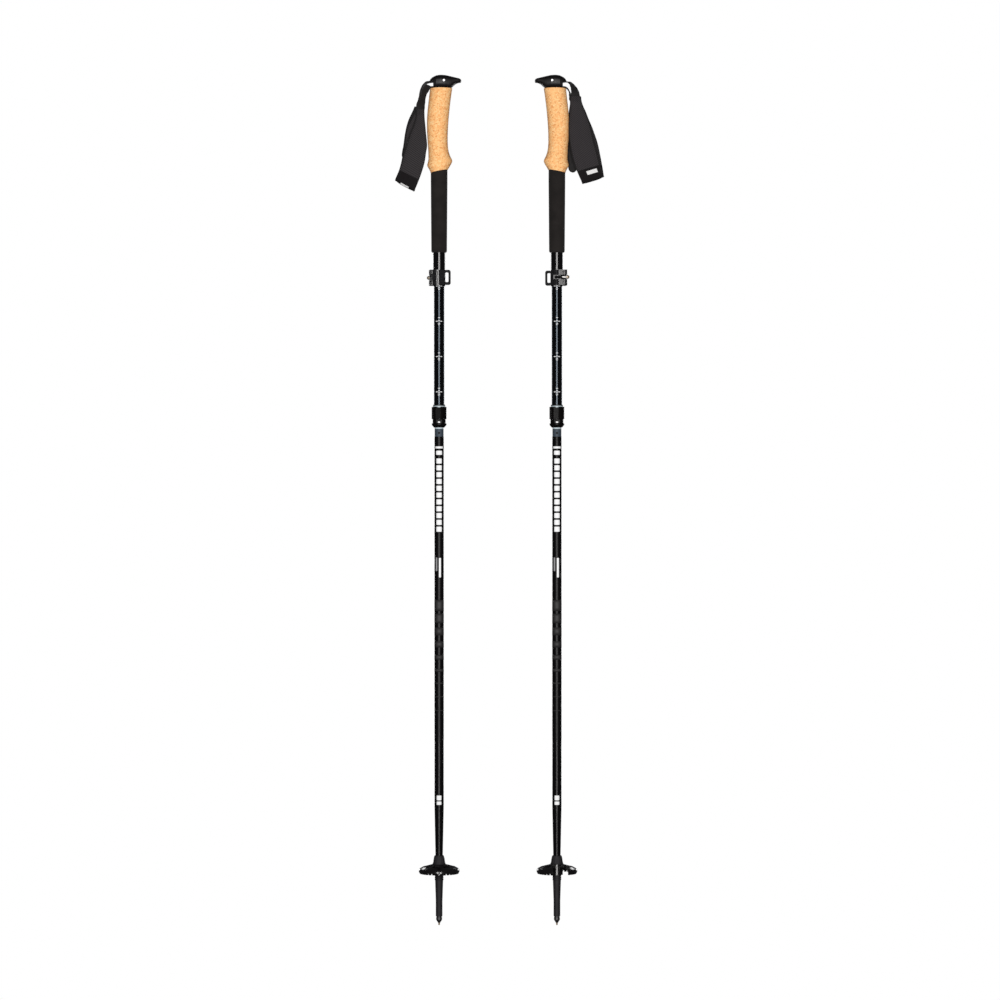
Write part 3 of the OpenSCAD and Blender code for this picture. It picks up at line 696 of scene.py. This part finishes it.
def web_section():
    """Across a strap: (across, thickness) pairs round a flat section with soft ridges."""
    n = 10
    top = []
    for i in range(n + 1):
        u = -1 + 2 * i / n
        edge = 1 - 0.55 * max(0, (abs(u) - 0.86) / 0.14) ** 2
        top.append((u, edge * (1 + 0.07 * math.cos(u * math.pi * 5))))
    return [(-1.02, 0.0)] + top + [(1.02, 0.0)] + [(u, -h) for u, h in reversed(top)]


def strap_mesh(name, side, rows, material):
    """A strap through rows of (centre, across, outwards, how wide), in the grip group's frame."""
    section = web_section()
    verts, uvs = [], []
    for (c, w, n, k), run in zip(rows, running([row[0] for row in rows])):
        for u, h in section:
            p = c + w * (u * WEB_W / 2 * k) + n * (h * WEB_T / 2)
            verts.append(to_row(side, *p))
            uvs.append((u * WEB_W / 2 * MM, run * MM))
    return mesh_piece(name, verts, tube_faces(len(rows), len(section)), uvs, material)


# ---- wrist straps ----------------------------------------------------

# Upper, outer strand from the padded band up to the head, through the head round the strap
# pin, and the inner strand down again: (x, y, z, twist in degrees).
OUTER = {
    -1: [(-27.4, -0.85, 1141, 90), (-27, -0.85, 1148, 84), (-27, -0.85, 1154.8, 58),
         (-26.4, -0.7, 1161.8, 32), (-26, -0.5, 1167.5, 20), (-25.3, -0.3, 1174.5, 14),
         (-22.6, -0.1, 1181.8, 11), (-18.3, 0, 1186.6, 10), (-14.1, 0, 1188, 4)],
    1: [(-27, 0.85, 1158, 90), (-26.6, 0.85, 1165, 88), (-26, 0.8, 1171.5, 74),
        (-24.6, 0.6, 1177.2, 54), (-22.4, 0.4, 1182, 36), (-19, 0.1, 1186.4, 22),
        (-14.1, 0, 1188.2, 6)],
}
INSIDE = [(-8.2, 0, 1188.35, 0), (-2, 0, 1188.95, 0), (3, 0, 1190.35, 0), (6.4, 0, 1191.4, 0),
          (8.6, 0, 1190.6, 0), (9.05, 0, 1189.2, 0), (8.5, 0, 1187.8, 0), (6.6, 0, 1186.95, 0),
          (2.6, 0, 1184.5, 0), (-1, 0, 1182.3, 0), (-4, 0, 1181.3, 0), (-8.2, 0, 1181.05, 0)]
INNER = {
    -1: [(-11.6, 0, 1180.7, 2), (-14.2, 0.1, 1180.6, 24), (-16.8, 0.3, 1179.8, 46),
         (-19.6, 0.6, 1176.6, 48), (-21.6, 0.8, 1171.6, 38), (-22.8, 0.85, 1165.5, 34),
         (-24.4, 0.85, 1159, 48), (-26.2, 0.85, 1152, 76), (-27.4, 0.85, 1141, 90)],
    1: [(-11.6, 0, 1180.6, 0), (-14.2, 0, 1179.2, 0), (-16.6, -0.1, 1176.4, 2),
        (-18.1, -0.3, 1173, 8), (-19.4, -0.6, 1169.6, 26), (-22, -0.85, 1165, 60),
        (-26.6, -0.85, 1158, 90)],
}


def twisted_rows(knots, count, turn_at):
    """Rows for strap_mesh along knots of (x, y, z, twist). The twist is about the strand as it
    points up to the head, so its sense changes at turn_at of the way, where it comes down."""
    line = spline([k[:3] for k in knots], count)
    at = running([Vector(k[:3]) for k in knots])
    total = length_of(line)
    rows = []
    for i, (c, run) in enumerate(zip(line, running(line))):
        s = run / total * at[-1]
        j = max(k for k in range(len(at) - 1) if at[k] <= s + 1e-9)
        f = (s - at[j]) / (at[j + 1] - at[j])
        twist = math.radians(knots[j][3] + (knots[j + 1][3] - knots[j][3]) * smooth_step(f))
        t = (line[min(i + 1, count - 1)] - line[max(i - 1, 0)]).normalized()
        up = t if s < turn_at * at[-1] else -t
        flat = Vector((0, 1, 0))
        flat = (flat - t * flat.dot(t)).normalized()
        other = flat.cross(up)
        w = flat * math.cos(twist) + other * math.sin(twist)
        n = w.cross(t).normalized()
        rows.append((c, w, n, 1.0))
    return rows


def half_depth(s):
    """Half the loop's depth, mid-thickness, from its sewn top at s 0 to its fold at s 1."""
    return 2.5 + 3.5 * smooth_step(s / 0.42) - 1.7 * smooth_step((s - 0.6) / 0.38)


# Edges of the padded loop's two layers, as (x, z): the layer on the camera's side of the
# pole, and the one behind it. Both meet at the same slanted fold.
BAND = {
    -1: dict(near_out=[(-31.2, 1149.5), (-32, 1139), (-34.8, 1128), (-40.2, 1114),
                       (-44.4, 1100), (-48, 1088.5), (-51.9, 1074.4), (-55.9, 1063),
                       (-61.6, 1049.8)],
             near_in=[(-21.3, 1149.5), (-20.9, 1137), (-19.9, 1126.6), (-19, 1116.7),
                      (-17.6, 1102.6), (-17.5, 1096), (-18.8, 1088.5), (-20.1, 1078.7),
                      (-22, 1070.2), (-26, 1057.5), (-30.9, 1044.8), (-35.2, 1034.6)],
             far_out=[(-32.6, 1149.5), (-39.4, 1135), (-43.6, 1126.6), (-46, 1118),
                      (-47.6, 1108), (-49.4, 1096), (-51.2, 1085), (-53.6, 1073),
                      (-57, 1061.4), (-61.6, 1049.8)],
             far_in=[(-21.3, 1149.5), (-22, 1137), (-22.6, 1118), (-22.4, 1101),
                     (-23.4, 1086), (-26, 1069), (-30.2, 1052), (-35.2, 1034.6)],
             near=-1),
    1: dict(near_out=[(-33.4, 1168), (-34.4, 1160), (-37.4, 1151), (-40.8, 1142),
                      (-44.2, 1132), (-48.6, 1115.3), (-51.4, 1102.6), (-54.3, 1092.8),
                      (-57.8, 1078.7), (-60.8, 1068), (-65.9, 1054.9)],
            near_in=[(-19.6, 1168), (-18.9, 1158), (-18.4, 1148), (-17.6, 1138), (-17, 1128),
                     (-17.2, 1116), (-18, 1105), (-20, 1092.8), (-23, 1078.7), (-27.2, 1066),
                     (-30.9, 1057.2), (-36.3, 1045.2)],
            far_out=[(-33.4, 1168), (-33.8, 1163), (-36.5, 1154.8), (-40.1, 1147),
                     (-44.3, 1136.5), (-49.2, 1125.2), (-52.8, 1115.3), (-57, 1102.6),
                     (-59.8, 1089.9), (-62.5, 1075.8), (-64.4, 1065), (-65.9, 1054.9)],
            far_in=[(-19.6, 1168), (-21, 1155), (-22.4, 1136), (-23.4, 1118), (-24.6, 1100),
                    (-26.4, 1085), (-29.4, 1070), (-32.6, 1057), (-36.3, 1045.2)],
            near=1),
}
BAND_ROWS = 74    # along each layer, of which those past FOLD_AT give way to the fold
FOLD_ROWS = 12    # round the fold
FOLD_AT = 0.962
HEM_AT = 0.865    # where the plain hem starts, down a layer


class Band:
    """The padded loop of one strap: places on its outer surface, by (t, u, lift).
    t runs from 0 at the near layer's top through the fold to 1 at the far layer's top."""

    def __init__(self, side):
        spec = BAND[side]
        self.side, self.near = side, spec["near"]
        self.a, self.b = self.edge(spec, "out"), self.edge(spec, "in")
        self.count = len(self.a)
        self.total = length_of([(p + q) / 2 for p, q in zip(self.a, self.b)])
        self.hem = HEM_AT * (BAND_ROWS - 1) / self.count

    def edge(self, spec, which):
        """One edge of the loop: down the near layer, round the fold and up the far layer."""
        near, far = (spline([(x, 0, z) for x, z in spec[layer + which]], BAND_ROWS)
                     for layer in ("near_", "far_"))
        last = int(FOLD_AT * (BAND_ROWS - 1))
        down, fold, up = [], [], []
        for i in range(last + 1):
            depth = self.near * half_depth(i / (BAND_ROWS - 1))
            down.append(Vector((near[i].x, depth, near[i].z)))
            up.append(Vector((far[i].x, -depth, far[i].z)))
        for k in range(1, FOLD_ROWS):
            f = math.pi * k / FOLD_ROWS
            base = near[last].lerp(far[last], (1 - math.cos(f)) / 2)
            p = base.lerp(near[-1], math.sin(f))
            fold.append(Vector((p.x, self.near * half_depth(FOLD_AT) * math.cos(f), p.z)))
        return down + fold + up[::-1]

    def frame(self, t, u):
        """(point at mid-thickness, across, along, outwards) at t and u, in the band's frame."""
        g = min(max(t, 0.0), 1.0) * (self.count - 1)
        i = min(int(g), self.count - 2)
        f = g - i
        a, b = self.a[i].lerp(self.a[i + 1], f), self.b[i].lerp(self.b[i + 1], f)
        i0, i1 = max(i - 1, 0), min(i + 2, self.count - 1)
        k = (u + 1) / 2
        along = (self.a[i1].lerp(self.b[i1], k) - self.a[i0].lerp(self.b[i0], k)).normalized()
        across = b - a
        out = across.cross(along).normalized() * self.near
        return a.lerp(b, k), across, along, out

    def wave(self, t, u):
        """A slight unevenness of the cloth, in millimetres."""
        top = math.exp(-((t if t < 0.5 else 1 - t) / 0.1) ** 2)
        return (0.16 * math.sin(9 * t * math.pi + 1.3 * u) + 0.1 * math.sin(31 * t + 4 * u)
                + 0.22 * top * math.cos(u * 9))

    def half(self, u):
        """Half the thickness across the band: full in the middle, pinched at the seams."""
        e = abs(u)
        seam = math.exp(-((e - 0.8) / 0.035) ** 2)
        return 0.62 + 0.92 * (1 - e ** 3.2) - 0.26 * seam

    def at(self, t, u, lift=0.0, outer=True):
        """The point on the outer or inner face at (t, u), raised by lift."""
        p, _, _, out = self.frame(t, u)
        h = self.half(u) + lift
        return p + out * ((h if outer else -h) + self.wave(t, u))

    def width(self, t):
        return (self.frame(t, -1)[0] - self.frame(t, 1)[0]).length


def band_piece(name, band, facing, hem):
    """The padded band itself: two faces, sides, and a plain darker zone round the fold."""
    rows, cols = 190, 22
    verts, uvs, faces, tags = [], [], [], []
    for i in range(rows + 1):
        t = i / rows
        w = band.width(t)
        v = t * band.total * MM
        ring = [(-1 + 2 * j / cols, True) for j in range(cols + 1)]
        ring += [(1 - 2 * j / cols, False) for j in range(cols + 1)]
        for u, outer in ring:
            verts.append(to_row(band.side, *band.at(t, u, 0, outer)))
            uvs.append((u * w / 2 * MM, v))
    m = 2 * (cols + 1)
    lo, hi = band.hem, 1 - band.hem
    for i in range(rows):
        for j in range(m):
            a, b = i * m + j, i * m + (j + 1) % m
            faces.append((a, a + m, b + m, b))
            tags.append(1 if lo < (i + 0.5) / rows < hi else 0)
    for i, order in ((0, 1), (rows, -1)):
        for j in range(cols):
            a = i * m + j
            b = i * m + m - 1 - j
            quad = (a, a + 1, b - 1, b)
            faces.append(quad[::order])
            tags.append(0)
    if band.side > 0:
        faces = [f[::-1] for f in faces]
    obj = mesh_piece(name, verts, faces, uvs, facing)
    obj.data.materials.append(hem)
    for poly, tag in zip(obj.data.polygons, tags):
        poly.material_index = tag
    return obj


def piping(name, band, u, material):
    """Rolled binding along one edge of the band, a flattened tube."""
    rows, n = 200, 10
    verts, uvs = [], []
    for i in range(rows + 1):
        t = 0.004 + 0.992 * i / rows
        p, across, _, out = band.frame(t, u)
        side = across.normalized() * (1 if u > 0 else -1)
        p = p + out * band.wave(t, u) - side * 0.35
        for k in range(n):
            a = 2 * math.pi * k / n
            verts.append(to_row(band.side, *(p + side * (0.95 * math.cos(a))
                                             + out * (1.02 * math.sin(a)))))
            uvs.append((k / n * 0.005, t * band.total * MM))
    return mesh_piece(name, verts, tube_faces(rows + 1, n), uvs, material)


STITCH_LONG, STITCH_WIDE, STITCH_HIGH = 1.7, 0.42, 0.22
STITCH_PITCH = 2.5


def stitches(name, side, spots, material):
    """Short raised threads at (point, direction, outwards), in the grip group's own frame."""
    verts, faces = [], []
    n, rings = 6, ((-1, 0.15), (-0.7, 0.85), (0, 1), (0.7, 0.85), (1, 0.15))
    for p, d, out in spots:
        across = out.cross(d).normalized()
        faces += tube_faces(len(rings), n, len(verts))
        for s, r in rings:
            for k in range(n):
                a = 2 * math.pi * k / n
                verts.append(to_row(side, *(p + d * (s * STITCH_LONG / 2)
                                            + across * (STITCH_WIDE / 2 * r * math.cos(a))
                                            + out * (STITCH_HIGH * r * math.sin(a)))))
    return mesh_piece(name, verts, faces, [(0, 0)] * len(verts), material)


def band_stitches(band):
    """Seam rows along both edges of both layers, a row at the hem and a bar-tack at the top."""
    spots = []

    def crosswise(t, u):
        _, across, _, out = band.frame(t, u)
        spots.append((band.at(t, u, 0.08), across.normalized(), out))

    for u in (-0.8, 0.8):
        for lo, hi in ((0.03, band.hem + 0.06), (1 - band.hem - 0.06, 0.97)):
            run = lo * band.total
            while run < hi * band.total:
                t = run / band.total
                _, _, along, out = band.frame(t, u)
                spots.append((band.at(t, u, 0.05), along, out))
                run += STITCH_PITCH
    for t in (band.hem, 1 - band.hem):
        count = int(band.width(t) * 0.9 / STITCH_PITCH)
        for k in range(count):
            crosswise(t, -0.88 + 1.76 * (k + 0.5) / count)
    for base in (0.0, 1.0):
        for row in range(5):
            t = abs(base - (1.6 + row * 1.35) / band.total)
            for k in range(5):
                crosswise(t, -0.68 + 1.36 * (k + 0.5) / 5 + (0.06 if row % 2 else -0.06))
    return spots


def patch(name, band, t0, t1, u0, u1, lift, material):
    """A thin closed patch on the band's outer surface, between t0..t1 and u0..u1."""
    n = 16
    verts, uvs = [], []
    for layer in (0, 1):
        for i in range(n + 1):
            for j in range(n + 1):
                t, u = t0 + (t1 - t0) * i / n, u0 + (u1 - u0) * j / n
                verts.append(to_row(band.side, *band.at(t, u, lift * layer - 0.02)))
                uvs.append((u * 0.015, t * band.total * MM))
    return mesh_piece(name, verts, shell_faces(n, n), uvs, material)


# Free tail of the webbing: (x, y, z) down its middle. It hangs behind the loop on both poles.
TAIL = {
    -1: [(-29, 4.4, 1152), (-32.6, 6.6, 1144), (-36.6, 8.3, 1136), (-39.8, 8.8, 1127),
         (-42.4, 8.9, 1115), (-44.7, 8.9, 1098.4), (-46.4, 8.8, 1089.9), (-47.4, 8.7, 1080)],
    1: [(-26.6, -4.4, 1170), (-25.2, -6.8, 1160), (-23, -8.7, 1146), (-21.8, -8.9, 1130),
        (-20.7, -9, 1111), (-19.9, -9, 1097), (-20.4, -8.9, 1083), (-22, -8.8, 1071),
        (-23.6, -8.7, 1061.5)],
}


TAIL_ROWS = 64
TAIL_ROUND = 6.0    # length over which its end is rounded


def tail_piece(name, side, material):
    """The strap's free end as a piece, and its length in millimetres."""
    line = spline(TAIL[side], TAIL_ROWS)
    last = TAIL_ROWS - 1
    total = length_of(line)
    rows = []
    for i, c in enumerate(line):
        t = (line[min(i + 1, last)] - line[max(i - 1, 0)]).normalized()
        out = Vector((0, 1, 0))
        out = (out - t * out.dot(t)).normalized()
        near_end = max(0.0, TAIL_ROUND - total * (1 - i / last))
        k = math.sqrt(1 - (near_end / (TAIL_ROUND + 0.15)) ** 2)
        rows.append((c, t.cross(out).normalized(), out, max(k, 0.12)))
    return strap_mesh(name, side, rows, material), total


hem_cloth = plain_weave("hem_plain", (0.0058, 0.0045, 0.0052))
binding_cloth = plain_weave("binding_plain", (0.013, 0.0118, 0.0125), 0.0006)
thread = plain_weave("thread_black", (0.012, 0.0115, 0.012), 0.0004)
patch_cloth = plain_weave("patch_pale", (0.72, 0.72, 0.72), 0.0008)

for name, side in SIDES:
    body = name + "_strap"
    knots = OUTER[side] + INSIDE + INNER[side]
    path = [Vector(k[:3]) for k in knots]
    turn = length_of(path[:len(OUTER[side]) + 6]) / length_of(path)
    rows = twisted_rows(knots, 230, turn)
    web = strap_mesh(name + "_webbing", side, rows, made["webbing"])
    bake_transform(web)
    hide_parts(name + "_strap_webbing", name + "_strap_tongue")

    tail, tail_long = tail_piece(name + "_strap_tail", side, made["webbing"])
    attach(tail, body)
    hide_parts(name + "_strap_webbing")

    band = Band(side)
    loop = band_piece(name + "_padded_loop", band, made["band"], hem_cloth)
    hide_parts(name + "_strap_band")
    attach(loop, body)
    for k, u in (("outer", -1.0), ("inner", 1.0)):
        edge = piping(name + "_binding_" + k, band, u, binding_cloth)
        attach(edge, body)
    seams = stitches(name + "_strap_stitches", side, band_stitches(band), thread)
    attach(seams, body)
    if side > 0:
        stripe = (band.hem + 0.012, band.hem + 0.034, -0.66, 0.3)
    else:
        stripe = (0.478, 0.512, -0.42, 0.42)
    mark = patch(name + "_hem_stripe", band, *stripe, 0.12, patch_cloth)
    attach(mark, body)


# ---- printed marks ---------------------------------------------------

def on_shaft(side, radius, u, v, lift):
    """A place on a shaft: u round from the front and v up, in millimetres."""
    a = -math.pi / 2 + u / radius
    r = (radius + lift) * MM
    return Vector((side * AXIS_X + r * math.cos(a), r * math.sin(a), v * MM))


PRINT_FLOOR = 0.004    # the underside of a print over the shaft, clear of it


def block(verts, faces, side, radius, u0, u1, v0, v1, lift=0.03, corner=0.0):
    """Adds a thin closed print to the lists, with rounded corners when corner is given."""
    cols = max(2, int(math.ceil((u1 - u0) / 0.45)))
    rows = max(1, int(math.ceil((v1 - v0) / 6)))
    vs = [v0 + (v1 - v0) * i / rows for i in range(rows + 1)]
    if corner:
        vs = ([v0, v0 + corner * 0.35, v0 + corner]
              + [v for v in vs if v0 + corner < v < v1 - corner]
              + [v1 - corner, v1 - corner * 0.35, v1])
    faces += shell_faces(len(vs) - 1, cols, len(verts))
    for layer in (0, 1):
        for v in vs:
            e = max(0.0, corner - min(v - v0, v1 - v))
            inset = corner - math.sqrt(max(0.0, corner ** 2 - e ** 2))
            for j in range(cols + 1):
                u = u0 + inset + (u1 - u0 - 2 * inset) * j / cols
                verts.append(on_shaft(side, radius, u, v,
                                      PRINT_FLOOR + (lift - PRINT_FLOOR) * layer))


def number(verts, faces, word, side, radius, v_mid, tall=2.7, long=11.0, lift=0.03):
    """Adds a number that runs down the shaft, its tops to the right, bent round the shaft."""
    curve = bpy.data.curves.new("number", "FONT")
    curve.body = word
    curve.align_x, curve.align_y = "CENTER", "CENTER"
    curve.size = 1.0
    curve.resolution_u = 4
    text = link(bpy.data.objects.new("number", curve))
    bpy.context.view_layer.update()
    flat = bpy.data.meshes.new_from_object(text)
    bpy.data.objects.remove(text)
    bpy.data.curves.remove(curve)
    bm = bmesh.new()
    bm.from_mesh(flat)
    bpy.data.meshes.remove(flat)
    bmesh.ops.remove_doubles(bm, verts=bm.verts, dist=1e-5)
    xs = [v.co.x for v in bm.verts]
    ys = [v.co.y for v in bm.verts]
    cx, cy = (min(xs) + max(xs)) / 2, (min(ys) + max(ys)) / 2
    kx, ky = long / (max(xs) - min(xs)), tall / (max(ys) - min(ys))
    for v in bm.verts:
        v.co = Vector(((v.co.x - cx) * kx, (v.co.y - cy) * ky, 0))
    bmesh.ops.triangulate(bm, faces=bm.faces)
    for _ in range(3):    # finer across, so that it bends with the shaft
        wide = [e for e in bm.edges if abs(e.verts[0].co.y - e.verts[1].co.y) > 0.55]
        if not wide:
            break
        bmesh.ops.subdivide_edges(bm, edges=wide, cuts=1)
        bmesh.ops.triangulate(bm, faces=bm.faces)
    out = bmesh.ops.extrude_face_region(bm, geom=bm.faces[:])
    for g in out["geom"]:
        if isinstance(g, bmesh.types.BMVert):
            g.co.z = 1.0
    bm.verts.index_update()
    base = len(verts)
    for v in bm.verts:
        verts.append(on_shaft(side, radius, v.co.y, v_mid - v.co.x,
                              PRINT_FLOOR + (lift - PRINT_FLOOR) * v.co.z))
    for f in bm.faces:
        faces.append(tuple(base + v.index for v in f.verts))
    bm.free()


CLAMP_EDGE = reach("left_upper_shaft", Z)[0] - 0.2    # where the scale is read
SCALE_PITCH = 49.7


def scale_marks(verts, faces, side):
    for k in range(5):
        v = CLAMP_EDGE - SCALE_PITCH * (k - 1)
        number(verts, faces, str(125 - 5 * k), side, TUBE_R, v)
        for u0, u1 in ((-4.65, -1.9), (1.9, 4.65)):
            block(verts, faces, side, TUBE_R, u0, u1, v - 0.55, v + 0.55)


def stripes(verts, faces, side):
    for k in range(11):
        top = 657.5 - 9.6 * k
        block(verts, faces, side, MID_R, -4.1, 4.1, top - 7.2, top, corner=0.8)
    block(verts, faces, side, MID_R, -6.2, 6.2, 671.5, 674.5, corner=0.6)
    block(verts, faces, side, MID_R, -4.6, 4.6, 662.5, 668.5, corner=1.2)
    block(verts, faces, side, MID_R, -0.2, 2.9, 490, 517.5, corner=0.6)


def stripe_grey(verts, faces, side):
    block(verts, faces, side, MID_R, -5.2, -2.6, 499, 518, corner=0.5)


def bars(verts, faces, side):
    """Matt rings right round the shaft, shorter and shorter downwards."""
    half = math.pi * MID_R * 0.999
    for k in range(9):
        top = 458.3 - 19.4 * k
        block(verts, faces, side, MID_R, -half, half, top - max(1.1, 15.6 - 2.3 * k), top,
              lift=0.02)


def low_mark(verts, faces, side):
    block(verts, faces, side, LOW_R, -3.6, 3.6, 176.2, 183, corner=0.8)
    block(verts, faces, side, LOW_R - 0.02, -3.6, 3.6, 169.8, 174.6, lift=0.05, corner=0.8)


white_ink = printed("ink_white", (0.84, 0.85, 0.86))
grey_ink = printed("ink_grey", (0.3, 0.3, 0.31))
matt_ink = printed("ink_matt_black", (0.0135, 0.0125, 0.013), 0.62)
PRINTS = (  # piece, what draws it, ink, the body it rides, slot
    ("_scale_print", scale_marks, white_ink, "_tube", "ring"),
    ("_shaft_stripes", stripes, white_ink, "_mid", "ring"),
    ("_shaft_stripe_grey", stripe_grey, grey_ink, "_mid", "ring"),
    ("_shaft_bars", bars, matt_ink, "_mid", "shaft"),
    ("_low_mark", low_mark, white_ink, "_low", "ring"),
)
for name, side in SIDES:
    for piece, draw, ink, body, slot in PRINTS:
        verts, faces = [], []
        draw(verts, faces, side)
        mark = mesh_piece(name + piece, verts, faces, None, ink)
        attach(mark, name + body)


# ---- tension cords ---------------------------------------------------

CORD_TOP, CORD_MIDDLE, CORD_LOW = 734.9, 480, 241
UPPER_FOLD, LOWER_FOLD = (702, 705), (264.2, 267.6)
FINE_STEP, STEP = 0.12, 4.0    # between rings of the cord, at a fold and elsewhere


def cord_piece(name, side, z_top, z_low, fold, material):
    """A length of the elastic cord as a mesh tube, with close rings where it bends at a fold,
    and the points down its middle."""
    zs, z = [], z_top
    while z > z_low + 1e-6:
        zs.append(z)
        z -= FINE_STEP if fold[0] - 0.2 < z < fold[1] + 0.2 else STEP
    zs.append(z_low)
    n = 14
    verts, uvs = [], []
    for z in zs:
        for k in range(n):
            a = 2 * math.pi * k / n
            r = CORD_R * (1 + 0.05 * math.cos(4 * a + z * 1.2)) * MM
            verts.append(Vector((side * AXIS_X + r * math.cos(a), r * math.sin(a), z * MM)))
            uvs.append((k / n, z * MM))
    cord = mesh_piece(name, verts, tube_faces(len(zs), n), uvs, material)
    return cord, [(side * AXIS_X, 0, z * MM) for z in zs]


for name, side in SIDES:
    upper, path = cord_piece(name + "_cord_upper", side, CORD_TOP, CORD_MIDDLE, UPPER_FOLD,
                             made["cord"])
    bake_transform(upper)
    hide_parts(name + "_tension_cord")
    lower, path = cord_piece(name + "_cord_lower", side, CORD_MIDDLE, CORD_LOW, LOWER_FOLD,
                             made["cord"])
    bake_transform(lower)
    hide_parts(name + "_tension_cord")
